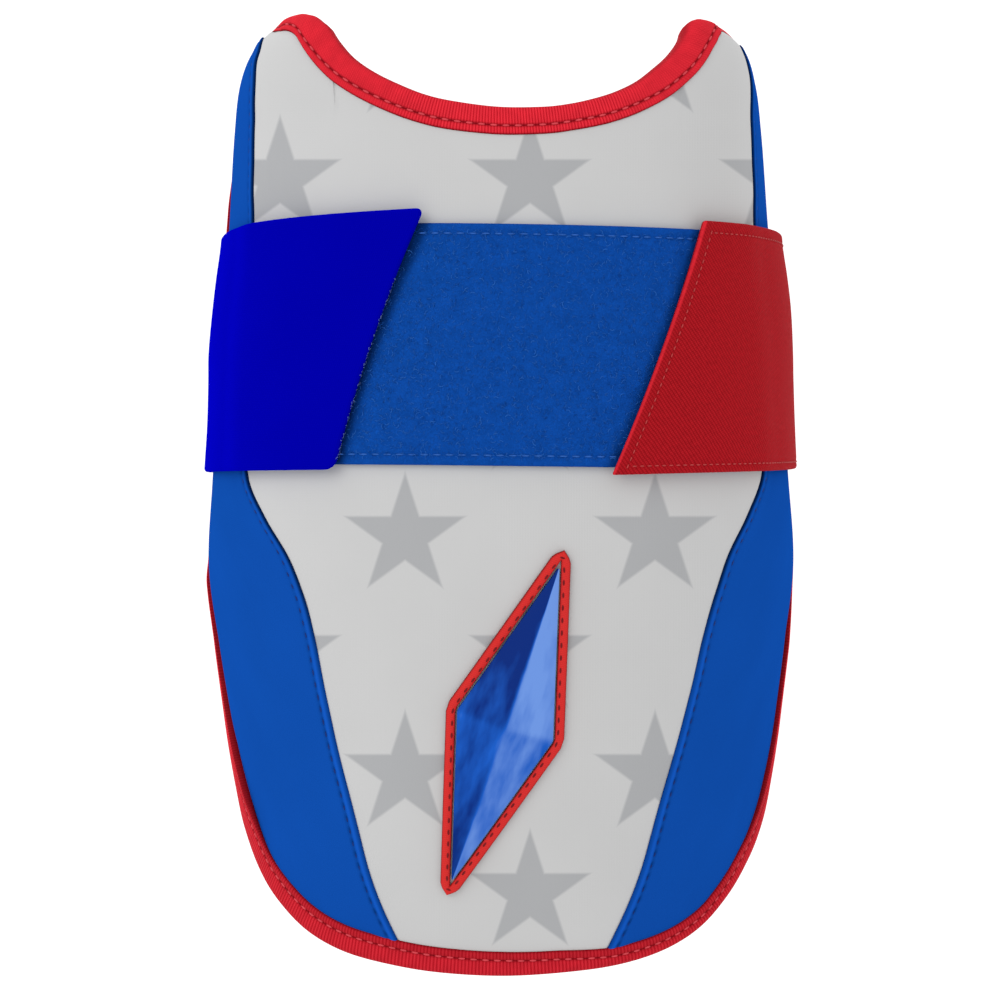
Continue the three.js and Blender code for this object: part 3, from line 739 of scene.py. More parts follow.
def film_paint(tree, place, colours):
    drawn = put(tree, "ShaderNodeVectorMath", {0: place, 1: (0.22, 0.07, 1.0)}, operation="MULTIPLY")
    # Streaks of painted reflection run along the film
    painted_gleam = put(tree, "ShaderNodeTexNoise", {"Vector": drawn, "Scale": 1.0, "Detail": 3.0})
    ramp = put(tree, "ShaderNodeValToRGB", {0: (painted_gleam - 0.5) * 0.9 + mark(tree, "facet")})
    stops = ramp.socket.node.color_ramp.elements
    stops.new(0.5)
    shown = (colours.film_dark, colours.film, colours.film_light)
    for stop, position, colour in zip(stops, (0.1, 0.45, 0.9), shown):
        stop.position, stop.color = position, rgba(colour)
    return ramp, None


def edging_paint(tree, place, colours):
    weave = grouped(tree, "Twill", place, 0.5, 0.3)
    # The shade mark darkens the edging as painted shade along its edges
    shaded = blended(tree, mark(tree, "shade"), rgba(colours.edging), rgba(colours.edging, 0.3))
    return scaled(tree, shaded, weave * 0.23 + 0.85), weave


# Each finish: paint, roughness, specular, size and spread of its patches, depth in millimetres and strength
# of its weave, and other constants
FINISHES = {
    "printed_fabric": (printed_paint, 0.75, 0.05, 26.0, 0.018, 0.04, 0.25),
    "blue_fabric": (wing_paint, 0.8, 0.0, 30.0, 0.05, 0.06, 0.5),
    "red_tape": (tape_paint, 0.7, 0.03, 2.5, 0.1, 0.08, 0.6),
    "blue_loop_pile": (pile_paint, 0.95, 0.02, 3.6, 0.11, 0.5, 0.7),
    "blue_loop_fibre": (fibre_paint, 0.8, 0.05, 0, 0, 0, 0),
    "blue_strap": (blue_strap_paint, 0.85, 0.0, 22.0, 0.03, 0.05, 0.5,
                   {"Sheen Weight": 0.4, "Sheen Tint": (0.002, 0.002, 1, 1)}),
    "red_twill": (red_strap_paint, 0.8, 0.03, 1.1, 0.12, 0.12, 0.8),
    "blue_film": (film_paint, 0.3, 0.06, 0, 0, 0, 0),
    "red_edging": (edging_paint, 0.75, 0.08, 0, 0, 0.05, 0.5),
}


def new_finish(name, roughness, specular, more=None):
    material = bpy.data.materials.new(name)
    material.use_nodes = True
    shader = material.node_tree.nodes["Principled BSDF"]
    for key, value in {"Roughness": roughness, "Specular IOR Level": specular, **(more or {})}.items():
        shader.inputs[key].default_value = value
    return material, material.node_tree, shader.inputs


def finish(name):
    """A cloth's material, on the piece's own UV map in millimetres."""
    paint, roughness, specular, patch, spread, depth, strength, *more = FINISHES[name]
    material, tree, shader = new_finish(name, roughness, specular, *more)
    place = scaled(tree, put(tree, "ShaderNodeUVMap", uv_map="weave"), float(UV_MM))
    colour, height = paint(tree, place, bpy.context.scene.guard_colours)
    if patch:
        colour = grouped(tree, "Cloth tone", place, colour, patch, spread)
    tree.links.new(colour.socket, shader["Base Color"])
    if height:
        bump = put(tree, "ShaderNodeBump", {"Height": height, "Distance": depth * MM, "Strength": strength})
        tree.links.new(bump.socket, shader["Normal"])
    return material


def thread_finish(name):
    material, tree, shader = new_finish(name, 0.6, 0.15)
    place = scaled(tree, put(tree, "ShaderNodeTexCoord")["Object"], 1 / MM)
    colour = rgba(getattr(bpy.context.scene.guard_colours, name))
    tone = grouped(tree, "Cloth tone", place, colour, 1.2, 0.14)
    tree.links.new(tone.socket, shader["Base Color"])
    return material


def stitch_path(paths):
    """Paths of points and ways out as one mesh of edges. A closed path is marked by its third item."""
    edges, first = [], 0
    for places, _, closed in paths:
        count = len(places)
        last = count if closed else count - 1
        edges += [(first + i, first + (i + 1) % count) for i in range(last)]
        first += count
    points, outward = (np.concatenate([path[k] for path in paths]) for k in (0, 1))
    mesh = bpy.data.meshes.new("path")
    mesh.from_pydata((points * MM).tolist(), edges, [])
    held = mesh.attributes.new("outward", "FLOAT_VECTOR", "POINT")
    held.data.foreach_set("vector", outward.astype(np.float32).ravel())
    return placed("path", mesh)


# The guard's own shapes

def panel_places(shares, rows, turn_at):
    """Turns and stations of a panel's grid, from the lower to the upper rim."""
    first, last = np.full(shares.shape, float(-SHELL_END)), np.full(shares.shape, STRAP_HIGH)
    low = bisect(lambda y: y - lower_rim(turn_at(shares, y), PANEL_INSET), first, KNEE)
    high = bisect(lambda y: y - upper_rim(turn_at(shares, y), PANEL_INSET), last, SHELL_END)
    y = low + rows[:, None] * (high - low)
    return turn_at(shares, y), y


def tucked(points, turn, y):
    """How far the wall's front and its lining are drawn in under the tape."""
    frames = rim_frames(0.25)
    edge = bare_skin(frames["turn"], frames["y"])
    tree = KDTree(len(edge))
    for i, place in enumerate(edge):
        tree.insert(place, i)
    tree.balance()
    found = [tree.find(p)[1:] for p in points.reshape(-1, 3)]
    nearest = np.array([i for i, _ in found]).reshape(points.shape[:-1])
    distance = np.array([d for _, d in found]).reshape(points.shape[:-1])
    beside = wing_swell(turn, y)[0] * (1 - smooth(distance, 9, 17))

    def draw_in(leg):
        return 1.9 * (1 - smooth(distance, 0, leg + 0.9)) ** 1.5
    return np.maximum(draw_in(frames["leg"][nearest]), beside), draw_in(BACK_LEG)


def front_cover():
    spare = PANEL_INSET / AROUND

    def turn_at(share, y):
        return share * (seam_turn(1, y) + spare) - (1 - share) * (seam_turn(-1, y) + spare)
    columns, rows = FRONT_GRID
    turn, y = panel_places(crowded(columns, 1.6), crowded(rows, 1.25), turn_at)
    base = bare_skin(turn, y)
    width = np.linalg.norm(skin_slopes(turn, y)[0], axis=-1)
    from_seam = np.minimum(seam_turn(1, y) - turn, seam_turn(-1, y) + turn) * width
    tuck, lining = tucked(base, turn, y)
    under = 0.75 * (1 - smooth(from_seam, -0.5, 0.9))
    x, along_arm = (base[..., k] * EYE / (EYE - base[..., 2]) for k in (0, 1))
    uv = paired(x - ROLL * along_arm, along_arm + ROLL * x)
    top, bottom = skin(turn, y, -tuck - under), skin(turn, y, lining + 0.6 * under - WALL)
    return closed_sheet("front_cover", top, bottom, uv, printed=np.ones(turn.shape))


def side_cover(side, pitch):
    def turn_at(share, y):
        seam = seam_turn(side, y)
        return side * (seam - 0.25 / AROUND + share * (0.994 - seam))
    across, up = (np.linspace(0, 1, count) for count in SIDE_GRID)
    turn, y = panel_places(across ** 1.7, up, turn_at)
    base = bare_skin(turn, y)
    across = run_length(base)
    run = run_length(base[:, 0])[:, None]
    fold = np.sqrt(1 - (1 - np.clip(across / 0.6, 0, 1)) ** 2)
    lift = (0.56 * fold - 0.12) * (1 - smooth(across, 1.7, 8))
    pucker = 0.65 + 0.35 * np.cos(2 * np.pi * run / pitch)
    lift = lift - 0.4 * bell(across - SEAM_ROW, 0.45) * pucker
    tuck, lining = tucked(base, turn, y)
    top, bottom = skin(turn, y, lift - tuck), skin(turn, y, lining - WALL)
    # Painted shade: the side panel is darkened along its folded edge, less towards the tip, and in the
    # puckered stitch groove, more towards the tip; the fold mark carries this shade
    edge = (0.25 + 0.75 * smooth(y, -48, -18)) * bell(across, 0.45)
    sewn = bell(across - SEAM_ROW, 0.4) * pucker
    shade = edge + (0.25 + 0.45 * smooth(-y, 20, 60)) * sewn
    # Painted highlight: the folded edge's crest is lightened, more towards the tip
    crest = bell(across - 1.2, 0.5) * (0.2 + 0.5 * smooth(-y, 15, 50))
    name = "side_cover_left" if side < 0 else "side_cover_right"
    return closed_sheet(name, top, bottom, paired(across, run), side < 0, fold=np.clip(shade, 0, 1),
                        crest=crest)


def binding_tape(neck_pitch, pitch):
    """The folded tape, with its count of cross ribs at closer spacing round the neck."""
    frames = rim_frames(TAPE_STEP)
    turn, y, leg, drawn = (frames[key] for key in ("turn", "y", "leg", "drawn"))
    drawn_in, proud = wing_swell(turn, y)
    tight = np.minimum(1, leg / 5)
    # Painted shade: the shades darken a line along the tape's inner edge, its stitched groove and its fold
    # over the rim
    front, shades = [], []
    for distance, lift in TAPE_EDGE:
        inside = np.maximum(leg - distance, FOLD_REACH * tight)
        front.append((inside, np.where(leg - distance < FOLD_REACH * tight, TAPE_LIFT, lift)))
        shades.append(0.9 * bell(distance - 0.02, 0.2) + 0.95 * bell(distance - TAPE_ROW, 0.32))
    for distance, lift in TAPE_FOLD:
        front.append((distance * tight, lift))
        shades.append(0.5 * bell(distance, 0.5))
    points = []
    for step, (inside, lift) in enumerate(front):
        lift = lift * (1 - drawn) + np.minimum(lift, -0.25) * drawn
        points.append(on_leg(frames, inside, lift + (proud if step > 1 else -drawn_in))[0])
    points.append(at_rim(frames, -0.12, -WALL / 2)[0])
    back = [(BACK_LEG - distance, lift) for distance, lift in TAPE_EDGE] + TAPE_FOLD
    points += [at_rim(frames, inside, -WALL - lift)[0] for inside, lift in back[::-1]]
    points += [at_rim(frames, 1, lift)[0] for lift in (-4.9, -1.1)]
    points = np.stack(points, 1)
    uv = paired(frames["run"][:, None], run_length(points[:1]))
    near_neck = (y > 0) * (1 - smooth(np.abs(turn), 0.3, 0.4))
    ribs = np.cumsum(TAPE_STEP * (near_neck / neck_pitch + (1 - near_neck) / pitch))
    # The tape is drawn smooth where it turns over the ears of the neck
    ear = smooth(y, 96, 103) * (1 - smooth(np.abs(turn), 0.6, 0.8))
    ribs, ribbed = (np.broadcast_to(v[:, None], points.shape[:2]) for v in (ribs, 1 - 0.9 * ear))

    def both(half, middle):
        return np.concatenate([half, [middle], half[::-1], [0, 0]])
    shade = both(np.array(shades), 0.5)
    # Below the wings the tape's inner band and its fold lie in shade
    dim = np.interp(np.arange(len(shades)), (0, 6, 7, 10, 12, 14), (0.42, 0.42, 0.3, 0.24, 0.34, 0.6))
    dim = both(dim, 0.6)
    shade = np.maximum(shade[None], dim[None] * smooth(-y, 55, 95)[:, None])
    return closed_ring("binding_tape", points, uv, ribs=ribs, ribbed=ribbed, shade=np.clip(shade, 0, 1))


def landing_places(across, up):
    """Turns and stations of the landing, which leans a little, at shares across and up."""
    y = LANDING_LOW + up * (LANDING_HIGH - LANDING_LOW)
    return (2 * across - 1) * LANDING_REACH + 0 * up, y - LANDING_LEAN * np.sin((across - 0.5) * np.pi)


def landing_cover():
    columns, rows = LANDING_GRID
    up = crowded(rows, 1.5)[:, None]
    turn, y = landing_places(crowded(columns, 1.2), up)
    base = bare_skin(turn, y)
    across = run_length(base)
    from_end = np.minimum(across, across[:, -1:] - across)
    height = LANDING_HIGH - LANDING_LOW
    from_edge = np.minimum(up, 1 - up) * height + 0 * across
    half = LANDING_THICK / 2 * edge_round(np.minimum(from_end, from_edge), 0.7)
    sunk = 0.3 * bell(from_edge - LANDING_ROW, 0.5)
    middle = LAY_GAP + LANDING_THICK / 2
    uv = paired(across - across[:, -1:] / 2, y)
    # Painted shadow: the pile is darkened beside each strap's slanted end and a little under it, more beside
    # the blue strap
    shade = 0
    for end, depth, width in (("blue", 0.75, 1.5), ("red", 0.45, 1.2)):
        end = STRAP_ENDS[end]
        along_end = np.clip((y - STRAP_LOW) / STRAP_WIDTH, 0, 1)
        clear = end["side"] * (end_line(end, along_end) - base[..., 0])
        shade = shade + depth * bell(np.maximum(clear, 0), width) * (clear > -4)
    top, bottom = skin(turn, y, middle + half - sunk), skin(turn, y, middle - half)
    return closed_sheet("loop_landing", top, bottom, uv, shade=shade), across[:, -1].mean()


def landing_face():
    """The landing's outer face alone, for its fibres."""
    columns, rows = FACE_GRID
    up = np.linspace(0.022, 0.978, rows)[:, None]
    turn, y = landing_places(np.linspace(*LANDING_SPAN, columns), up)
    points = skin(turn, y, LAY_GAP + LANDING_THICK - 0.02)
    return mesh_piece("loop_face", points, grid_faces(*turn.shape), paired(turn, y), {})


def edge_round(distance, radius):
    """The share of a sheet's thickness at a distance from its rounded edge."""
    return 0.1 + 0.9 * np.sqrt(1 - (1 - np.clip(distance / radius, 0, 1)) ** 2)


def over_skin(turn, y, rise, sway):
    """A strap's mid line over the skin and its way out, in the plane across the arm."""
    out = unit(skin_normal(turn, y) * (1, 0, 1))
    past, drawn = (
        smooth(np.abs(turn), LANDING_REACH, LANDING_REACH + step) for step in (LANDING_STEP, SWAY_STEP)
    )
    on_landing = 2 * LAY_GAP + LANDING_THICK
    lift = on_landing + past * (rise - on_landing) + drawn * sway + STRAP_THICK / 2
    return bare_skin(turn, y) + out * lift[..., None], out


def end_line(end, up):
    """x of a strap's slanted end at shares of its width."""
    return end["low"] + up * (end["high"] - end["low"]) + end["bow"] * 4 * up * (1 - up)


def strap_grid(end, up):
    """Mid points and ways out of a strap at shares of its width, from its slanted end to its lap."""
    side, up = end["side"], up[:, None]
    pull = 0
    for rounding, distance in zip(end["rounds"], (up * STRAP_WIDTH, (1 - up) * STRAP_WIDTH)):
        inside = np.clip(1 - distance / rounding, 0, 1)
        pull = pull + rounding * (1 - np.sqrt(1 - inside ** 2))

    def level(share):
        low = STRAP_LOW - end["dip"] * (1 - share)
        return low + up * (STRAP_HIGH + end["flare"] * (1 - share) - low)
    end_x = end_line(end, up) + side * pull
    sway = along(STRAP_SWAY, up)[..., (side + 1) // 2]
    first = side * turn_under(end_x, level(0))
    floor = STRAP_THICK / 2

    def too_low(turn):
        point, out = over_skin(side * turn, level(1), end["rise"], sway)
        return floor + STRAP_CORNER - point[..., 2] + STRAP_CORNER * out[..., 2]
    last = bisect(too_low, np.full(up.shape, LANDING_REACH + LANDING_STEP), 1.1)
    on_skin, round_corner, behind = STRAP_COLUMNS
    share = (np.arange(on_skin + 1) / on_skin)[None] ** 1.5
    point, out = over_skin(side * (first + (last - first) * share), level(share), end["rise"], sway)
    centre = point[:, -1:] - out[:, -1:] * STRAP_CORNER
    swing = np.linspace(0, 1, round_corner + 1)[None, 1:]
    angle = np.arcsin(out[:, -1:, 2]) * (1 - swing) - math.pi / 2 * swing
    way = np.stack([side * np.cos(angle), np.zeros(angle.shape), np.sin(angle)], -1)
    bent = centre + way * STRAP_CORNER
    reach = np.linspace(0, 1, behind + 1)[None, 1:] ** 0.8
    x = centre[..., 0] * (1 - reach) - side * LAP / 2 * reach
    z = np.full(x.shape, floor)
    if side > 0:
        climb = 1 - smooth(x, LAP / 2 + LAP_CLEAR, LAP / 2 + LAP_CLEAR + LAP_RAMP)
        z = z + climb * (STRAP_THICK + LAY_GAP)
    laid = np.stack([x, np.broadcast_to(level(1), x.shape), z], -1)
    down = np.broadcast_to([0.0, 0.0, -1.0], laid.shape)
    return np.concatenate([point, bent, laid], 1), np.concatenate([out, way, down], 1)


def strap_cover(name, end):
    """A strap with rounded edges. The red one has a doubled hem at its slanted end."""
    up = crowded(STRAP_ROWS, 1.7)
    middle, out = strap_grid(end, up)
    lengths = run_length(middle)
    from_edge = (np.minimum(up, 1 - up) * STRAP_WIDTH)[:, None]
    from_row = np.minimum(*(
        np.abs(share * STRAP_WIDTH - row) for share, row in zip((up, 1 - up), SELVEDGE_ROWS)
    ))
    from_end = np.minimum(lengths, lengths[:, -1:] - lengths)
    edge = edge_round(np.minimum(from_edge, from_end), 0.95)
    half = STRAP_THICK / 2 * edge
    band = rise = np.zeros(lengths.shape)
    if end["side"] > 0:
        band = 1 - smooth(lengths, 0.2, 0.6)
        rise = 0.14 * (1 - smooth(lengths, HEM_ROW - 0.7, HEM_ROW + 0.5))
        rise = rise - 0.16 * bell(lengths - HEM_ROW, 0.5)
        rise = rise - 0.14 * bell(from_row[:, None], 0.5) * smooth(lengths, 3, 5)
    top = middle + out * (half + rise * edge)[..., None]
    bottom = middle - out * half[..., None]
    uv = paired(lengths, up[:, None] * STRAP_WIDTH)
    return closed_sheet(name, top, bottom, uv, end["side"] < 0, band=band), lengths[:, -1]


def strap_paths(end):
    """Stitch paths on a strap: along its slanted end and along its long edges."""
    low, high = SELVEDGE_ROWS[0] / STRAP_WIDTH, 1 - SELVEDGE_ROWS[1] / STRAP_WIDTH
    hem = [
        [[np.interp(HEM_ROW, run_length(middle), grid[:, k]) for k in range(3)] for grid in (middle, out)]
        for middle, out in zip(*strap_grid(end, np.linspace(low, high, 60)))
    ]
    places, ways = np.moveaxis(np.array(hem), 1, 0)
    ways = unit(ways)
    paths = [(places + ways * (STRAP_THICK / 2 + 0.02), ways, False)]
    for share in (low, high):
        middle, out = (grid[0] for grid in strap_grid(end, np.array([share])))
        lengths = run_length(middle)
        kept = (lengths > HEM_ROW + 1.5) & (lengths < lengths[-1] - 4)
        paths.append(((middle + out * (STRAP_THICK / 2))[kept], out[kept], False))
    return paths


def fringe_strip():
    """A narrow strip along the blue strap's slanted end, for the fibres that catch there."""
    middle, out = strap_grid(STRAP_ENDS["blue"], np.linspace(0.03, 0.75, 60))
    edge = middle[:, 0] + (0.15, 0, 0)
    points = np.stack([edge - out[:, 0] * 0.5, edge + out[:, 0] * 0.6], 1)
    return mesh_piece("strap_fringe_strip", points, grid_faces(60, 2), points[..., :2], {})


def on_inlay(length, width, lift):
    """Places along and across the leaning inlay, at a height over the skin."""
    x = INLAY_X + length * math.sin(INLAY_LEAN) + width * math.cos(INLAY_LEAN)
    y = INLAY_Y + length * math.cos(INLAY_LEAN) - width * math.sin(INLAY_LEAN)
    return skin(turn_under(x, y), y, lift)


def inlay_cover():
    across, up = (2 * crowded(count, 1.2) - 1 for count in INLAY_GRID)
    sideways, share = across[None], 0.985 * up[:, None]
    inset = 1 - LAY_GAP / (INLAY_LENGTH * math.sin(math.atan2(INLAY_WIDTH, INLAY_LENGTH)))
    taper = 1 - np.sqrt(share ** 2 + 0.0004)
    ridge = 1 - np.sqrt(sideways ** 2 + 0.0006)
    length = inset * share * INLAY_LENGTH + 0 * sideways
    width = inset * sideways * (1 - np.abs(share)) * INLAY_WIDTH
    top = LAY_GAP + INLAY_EDGE + INLAY_PEAK * np.clip(taper, 0, 1) * np.clip(ridge, 0, 1)
    # Painted light and shade: the facets on one side of the ridge are lit and the others shaded, lit ones
    # lighter and shaded ones darker in the upper half and towards the tips
    light = 0.5 + 0.5 * np.tanh(sideways / 0.05)
    upper = 0.5 + 0.5 * np.tanh(share / 0.02)
    facet = light * (0.62 + 0.3 * upper) + (1 - light) * (0.3 - 0.2 * upper)
    facet = facet + 0.2 * (np.abs(share) - 0.4) * (2 * light - 1)
    return closed_sheet("inlay", on_inlay(length, width, top), on_inlay(length, width, LAY_GAP),
                        paired(width, length), facet=np.clip(facet, 0, 1))


def border_lines():
    """Matching points on the border's inner and outer line, along and across the inlay."""
    slant = math.atan2(INLAY_WIDTH, INLAY_LENGTH)
    out = np.array([BORDER_WIDTH * math.sin(slant), BORDER_WIDTH * math.cos(slant)])
    tip = np.array([INLAY_LENGTH + BORDER_TIP, 0.0])
    shares = np.linspace(0, 1, 70)[:, None]
    edge = (1 - shares) * (INLAY_LENGTH, 0) + shares * (0, INLAY_WIDTH)
    blunt = np.linspace(0, 1, 5)[:-1, None]
    inner = np.concatenate([(INLAY_LENGTH, 0) + blunt * (-0.06, 0.018), edge[1:]])
    outer = np.concatenate([tip + blunt * (edge[0] + out - tip), edge[1:] + out])
    lines = []
    for quarter in ((1, 1), (-1, 1), (-1, -1), (1, -1)):
        flipped = quarter[0] * quarter[1] < 0
        pair = np.stack([inner, outer], 1) * quarter
        lines.append(pair[::-1][1:] if flipped else pair[:-1])
    return np.concatenate(lines)


def border_cover():
    lines = border_lines()
    shares = np.array([0.06, 0.0, 0.04, 0.14, 0.3, 0.5, 0.7, 0.86, 0.96, 1.0, 0.94])
    lifts = LAY_GAP + np.array([-0.3, 0.2, 0.72, 1.02, 1.18, 1.22, 1.14, 0.92, 0.55, 0.1, -0.3])
    places = lines[:, :1] + shares[None, :, None] * (lines[:, 1:] - lines[:, :1])
    points = on_inlay(places[..., 0], places[..., 1], lifts[None])
    uv = paired(run_length(points[:, 5])[:, None], shares * BORDER_WIDTH)
    # Painted shade where the edging rounds down at its outer edge, and less at its inner edge
    shade = bell(shares - 1, 0.1) + 0.5 * bell(shares, 0.06)
    shade = np.broadcast_to(np.clip(shade, 0, 1), points.shape[:2])
    return closed_ring("inlay_border", points, uv, shade=shade)


def sewn_line(turn, y, lift):
    """An open stitch path: its points and the skin's ways out."""
    return skin(turn, y, lift), skin_normal(turn, y), False


def seam_paths():
    paths = []
    for side, high in ((-1, 111.5), (1, 107.5)):
        y = np.linspace(-112, high, 700)
        seam = seam_turn(side, y)
        width = np.linalg.norm(skin_slopes(side * seam, y)[0], axis=-1)
        turn = side * (seam + (SEAM_ROW - 0.25) / width)
        paths.append(sewn_line(turn, y, 0.05))
    return paths


def tape_paths():
    """Stitch paths on the tape: round the neck, round the tip, and all round the lining."""
    frames = rim_frames(0.8)
    turn, y = frames["turn"], frames["y"]
    front, out = on_leg(frames, np.maximum(frames["leg"] - TAPE_ROW, 0.4), 0.3)
    back, back_out = at_rim(frames, BACK_LEG - TAPE_ROW, -WALL - 0.3)
    paths = [(back, -back_out, True)]
    for kept in ((y > 60) & (np.abs(turn) < 0.45), (y < -24) & (np.abs(turn) < 0.985)):
        paths.append((front[kept], out[kept], False))
    return paths


def landing_paths():
    height = LANDING_HIGH - LANDING_LOW
    across = np.linspace(*LANDING_SPAN, 200)
    return [
        sewn_line(*landing_places(across, np.array(up)), LAY_GAP + LANDING_THICK - 0.12)
        for up in (LANDING_ROW / height, 1 - LANDING_ROW / height)
    ]


def border_paths():
    lines = border_lines()
    places = lines[:, 0] + 0.3 * (lines[:, 1] - lines[:, 0])
    points = on_inlay(places[:, 0], places[:, 1], LAY_GAP + 1.16)
    x, y = points[:, 0], points[:, 1]
    return [(points, skin_normal(turn_under(x, y), y), True)]


# Properties

def colour_value(label, *shown):
    """A cloth's linear colour, from the 8-bit colour that it shows in the studio's light."""
    linear = [(((c / 255 + 0.055) / 1.055) ** 2.4 if c > 10 else c / 255 / 12.92) / LIGHT for c in shown]
    return bpy.props.FloatVectorProperty(
        name=label, description=label, default=linear, size=3, min=0, max=1, subtype="COLOR"
    )


def length_value(label, default):
    return bpy.props.FloatProperty(
        name=label, description=label, default=default, unit="LENGTH", precision=5
    )


class GuardColours(bpy.types.PropertyGroup):
    """Colours of the guard's cloths and threads."""
    panel: colour_value("Pale knit of the front panel", 203, 203, 203)
    star: colour_value("Grey of the printed stars", 174, 175, 177)
    wing: colour_value("Blue knit of the side panels", 16, 77, 170)
    # The folded edge's colour is a painted highlight on the same blue knit
    wing_fold_highlight: colour_value("Folded edge of a side panel", 24, 94, 204)
    # The binding tape's two yarn colours are painted shade on the sunk yarns and painted highlight on the
    # raised ones
    tape: colour_value("Sunk yarns of the binding tape", 188, 12, 30)
    tape_rib_highlight: colour_value("Raised yarns of the binding tape", 244, 53, 67)
    pile: colour_value("Blue loop pile of the landing", 13, 72, 160)
    pile_tip: colour_value("Lightest fibres of the loop pile", 50, 112, 200)
    blue_strap: colour_value("Royal blue of the left strap", 2, 1, 166)
    # The red twill's two yarn colours are painted shade on the sunk yarns and painted highlight on the
    # raised ones
    red_strap: colour_value("Sunk yarns of the red twill", 142, 8, 18)
    red_yarn_highlight: colour_value("Raised yarns of the red twill", 184, 29, 38)
    red_band: colour_value("Cut edge of the red strap's slanted end", 222, 40, 52)
    film: colour_value("Middle blue of the inlay", 26, 94, 200)
    # The inlay's light and dark facets are painted light and shade on one blue film
    film_light: colour_value("Light facets of the inlay", 114, 156, 234)
    film_dark: colour_value("Dark facets of the inlay", 2, 42, 124)
    strap_fringe: colour_value("Pale fibres on the blue strap's end", 112, 134, 190)
    edging: colour_value("Red edging round the inlay", 218, 48, 46)
    tape_thread: colour_value("Stitches of the binding tape", 214, 70, 80)
    seam_thread: colour_value("Stitches along the panels' seams", 8, 42, 114)
    landing_thread: colour_value("Stitches of the landing", 46, 102, 188)
    strap_thread: colour_value("Stitches of the red strap", 186, 66, 66)
    border_thread: colour_value("Stitches of the inlay's edging", 120, 16, 22)


class GuardSizes(bpy.types.PropertyGroup):
    """Sizes of the guard's sewn, woven and printed details."""
    seam_pitch: length_value("Spacing of the seam stitches", 0.0031)
    tape_pitch: length_value("Spacing of the tape's stitches", 0.0029)
    landing_pitch: length_value("Spacing of the landing's stitches", 0.003)
    strap_pitch: length_value("Spacing of the red strap's stitches", 0.0019)
    border_pitch: length_value("Spacing of the edging's stitches", 0.0031)
    neck_rib: length_value("Spacing of the tape's cross ribs round the neck", 0.00068)
    rib_pitch: length_value("Spacing of the tape's other cross ribs", 0.00085)
    fibre_curl: length_value("Radius of the pile's curled fibres", 0.0005)
    fringe_curl: length_value("Radius of the fringe's curled fibres", 0.00028)
    fibre_thickness: length_value("Radius of a fibre", 0.00005)
    fibre_density: bpy.props.FloatProperty(
        name="Pile fibres", description="Pile fibres on a square metre", default=1.45e6, min=0
    )
    fringe_density: bpy.props.FloatProperty(
        name="Fringe fibres", description="Fringe fibres on a square metre", default=1.6e6, min=0
    )
    star_radius: length_value("Middle of a printed star to its points", 0.0164)
    star_cell_width: length_value("Width of the star pattern's repeat", 0.06497)
    star_cell_height: length_value("Height of the star pattern's repeat", 0.06185)
    star_x: length_value("Place of one star across the print", -0.0248)
    star_y: length_value("Place of one star along the print", -0.01065)


# Operators

class GuardStep:
    """What the steps share: each builds its pieces at the scene's sizes."""

    def execute(self, context):
        self.build(context.scene.guard_sizes)
        return {"FINISHED"}


class GUARD_OT_panels(GuardStep, bpy.types.Operator):
    """Builds the padded front and side panels"""
    bl_idname = "guard.panels"
    bl_label = "Padded Panels"

    def build(self, sizes):
        panels = [settle(front_cover(), "printed_fabric", "front_panel")]
        blue = finish("blue_fabric")
        for side, node in ((-1, "side_panel_left"), (1, "side_panel_right")):
            panel = side_cover(side, sizes.seam_pitch / MM)
            panels.append(settle(panel, "blue_fabric", node, blue))


class GUARD_OT_binding(GuardStep, bpy.types.Operator):
    """Builds the ribbed tape round the rim"""
    bl_idname = "guard.binding"
    bl_label = "Binding Tape"

    def build(self, sizes):
        settle(binding_tape(sizes.neck_rib / MM, sizes.rib_pitch / MM), "red_tape", "edge_binding")


class GUARD_OT_landing(GuardStep, bpy.types.Operator):
    """Builds the loop landing and its pile"""
    bl_idname = "guard.landing"
    bl_label = "Loop Landing"

    def build(self, sizes):
        cover, length = landing_cover()
        settle(cover, "blue_loop_pile", "loop_panel")
        fibre = finish("blue_loop_fibre")
        pile = grown(landing_face(), "loop_pile", "Loop pile", sizes.fibre_density, 3, sizes.fibre_curl,
                     sizes.fibre_thickness, fibre)
        settle(pile, "blue_loop_pile", material=fibre)


class GUARD_OT_straps(GuardStep, bpy.types.Operator):
    """Builds the blue and the red strap"""
    bl_idname = "guard.straps"
    bl_label = "Straps"

    def build(self, sizes):
        pale = thread_finish("strap_fringe")
        fringe = grown(fringe_strip(), "strap_fringe", "Loop pile", sizes.fringe_density, 5,
                       sizes.fringe_curl, sizes.fibre_thickness, pale)
        settle(fringe, "blue_strap", material=pale)
        for key, slot, caught in (("blue", "blue_strap", [fringe]), ("red", "red_twill", ())):
            cover, lengths = strap_cover(key + "_strap_cover", STRAP_ENDS[key])
            settle(cover, slot, "strap_" + key)


class GUARD_OT_inlay(GuardStep, bpy.types.Operator):
    """Builds the faceted inlay and its edging"""
    bl_idname = "guard.inlay"
    bl_label = "Inlay"

    def build(self, sizes):
        settle(inlay_cover(), "blue_film", "emblem")
        settle(border_cover(), "red_edging", "emblem_border")


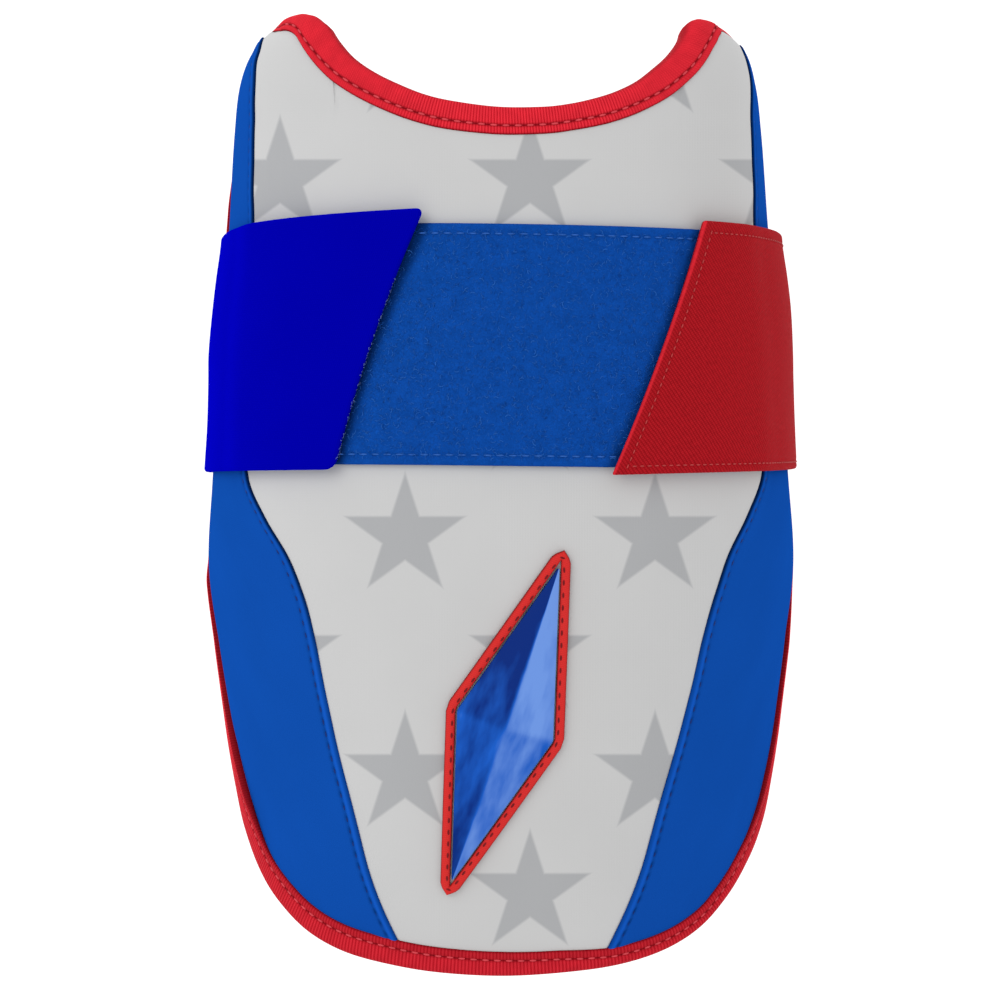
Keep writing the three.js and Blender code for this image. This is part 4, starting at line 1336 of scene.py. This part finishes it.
class GUARD_OT_stitches(GuardStep, bpy.types.Operator):
    """Sews the rows of stitches"""
    bl_idname = "guard.stitches"
    bl_label = "Stitches"

    def build(self, sizes):
        # Rows of stitches: their paths, a stitch's length, width and height in millimetres, and the cloth
        for key, paths, stitch, slot in (
            ("tape", tape_paths(), (1.8, 0.55, 0.45), "red_tape"),
            ("seam", seam_paths(), (2.0, 0.75, 0.4), "blue_fabric"),
            ("landing", landing_paths(), (2.0, 0.4, 0.4), "blue_loop_pile"),
            ("strap", strap_paths(STRAP_ENDS["red"]), (1.2, 0.34, 0.34), "red_twill"),
            ("border", border_paths(), (1.5, 0.55, 0.3), "red_edging"),
        ):
            thread = thread_finish(key + "_thread")
            sewn = grown(stitch_path(paths), key + "_stitches", "Stitch row", getattr(sizes, key + "_pitch"),
                         *(size * MM for size in stitch), thread)
            settle(sewn, slot, material=thread)


class GUARD_OT_stage(bpy.types.Operator):
    """Sets up the pale floor, the soft light and the camera overhead"""
    bl_idname = "guard.stage"
    bl_label = "Studio"

    def execute(self, context):
        scene = context.scene
        scene.view_settings.view_transform = "Standard"
        corners = [(x, y, FLOOR_LEVEL) for x, y in ((-3, -3), (3, -3), (3, 3), (-3, 3))]
        floor = bpy.data.meshes.new("floor")
        floor.from_pydata(corners, [], [(0, 1, 2, 3)])
        floor.materials.append(new_finish("floor", 1.0, 0.0, {
            "Base Color": (0.35, 0.35, 0.35, 1), "Emission Color": (1, 1, 1, 1), "Emission Strength": 0.95,
        })[0])
        placed("floor", floor)

        world = bpy.data.worlds.new("studio")
        world.use_nodes = True
        background = world.node_tree.nodes["Background"]
        background.inputs["Color"].default_value = (1, 1, 1, 1)
        background.inputs["Strength"].default_value = 0.88
        scene.world = world
        # Lamps: place, size and power
        for name, place, size, power in (
            ("key", (-1.1, 0.9, 1.6), 1.3, 10.0),
            ("fill", (0.2, -1.2, 1.5), 1.6, 1.2),
        ):
            light = bpy.data.lights.new(name, "AREA")
            light.size, light.energy = size, power
            lamp = placed(name, light)
            lamp.location = place
            lamp.rotation_euler = (-lamp.location).to_track_quat("-Z", "Y").to_euler()

        lens = bpy.data.cameras.new("camera")
        lens.sensor_width, lens.lens = 36, 145.44
        lens.shift_x, lens.shift_y = -0.0005, -0.005
        scene.camera = placed("camera", lens)
        scene.camera.location = (0, 0, EYE * MM)
        scene.camera.rotation_euler = (0, 0, -ROLL)
        return {"FINISHED"}


STEPS = (GUARD_OT_panels, GUARD_OT_binding, GUARD_OT_landing, GUARD_OT_straps, GUARD_OT_inlay,
         GUARD_OT_stitches, GUARD_OT_stage)


class GUARD_PT_sidebar(bpy.types.Panel):
    """Lists the guard's steps, sizes and colours"""
    bl_idname = "GUARD_PT_sidebar"
    bl_label = "Elbow Guard"
    bl_space_type = "VIEW_3D"
    bl_region_type = "UI"
    bl_category = "Elbow Guard"

    def draw(self, context):
        for step in STEPS:
            self.layout.operator(step.bl_idname)
        for group in (context.scene.guard_sizes, context.scene.guard_colours):
            box = self.layout.box()
            for name in group.__annotations__:
                box.prop(group, name)


CLASSES = (GuardColours, GuardSizes, *STEPS, GUARD_PT_sidebar)


def register():
    for cls in CLASSES:
        bpy.utils.register_class(cls)
    bpy.types.Scene.guard_colours = bpy.props.PointerProperty(type=GuardColours)
    bpy.types.Scene.guard_sizes = bpy.props.PointerProperty(type=GuardSizes)


def unregister():
    del bpy.types.Scene.guard_sizes, bpy.types.Scene.guard_colours
    for cls in reversed(CLASSES):
        bpy.utils.unregister_class(cls)


def main():
    register()
    guard = bpy.ops.guard
    for step in (guard.panels, guard.binding, guard.landing, guard.straps, guard.inlay, guard.stitches,
                 guard.stage):
        step()
    bpy.context.view_layer.update()


if __name__ == "__main__":
    main()
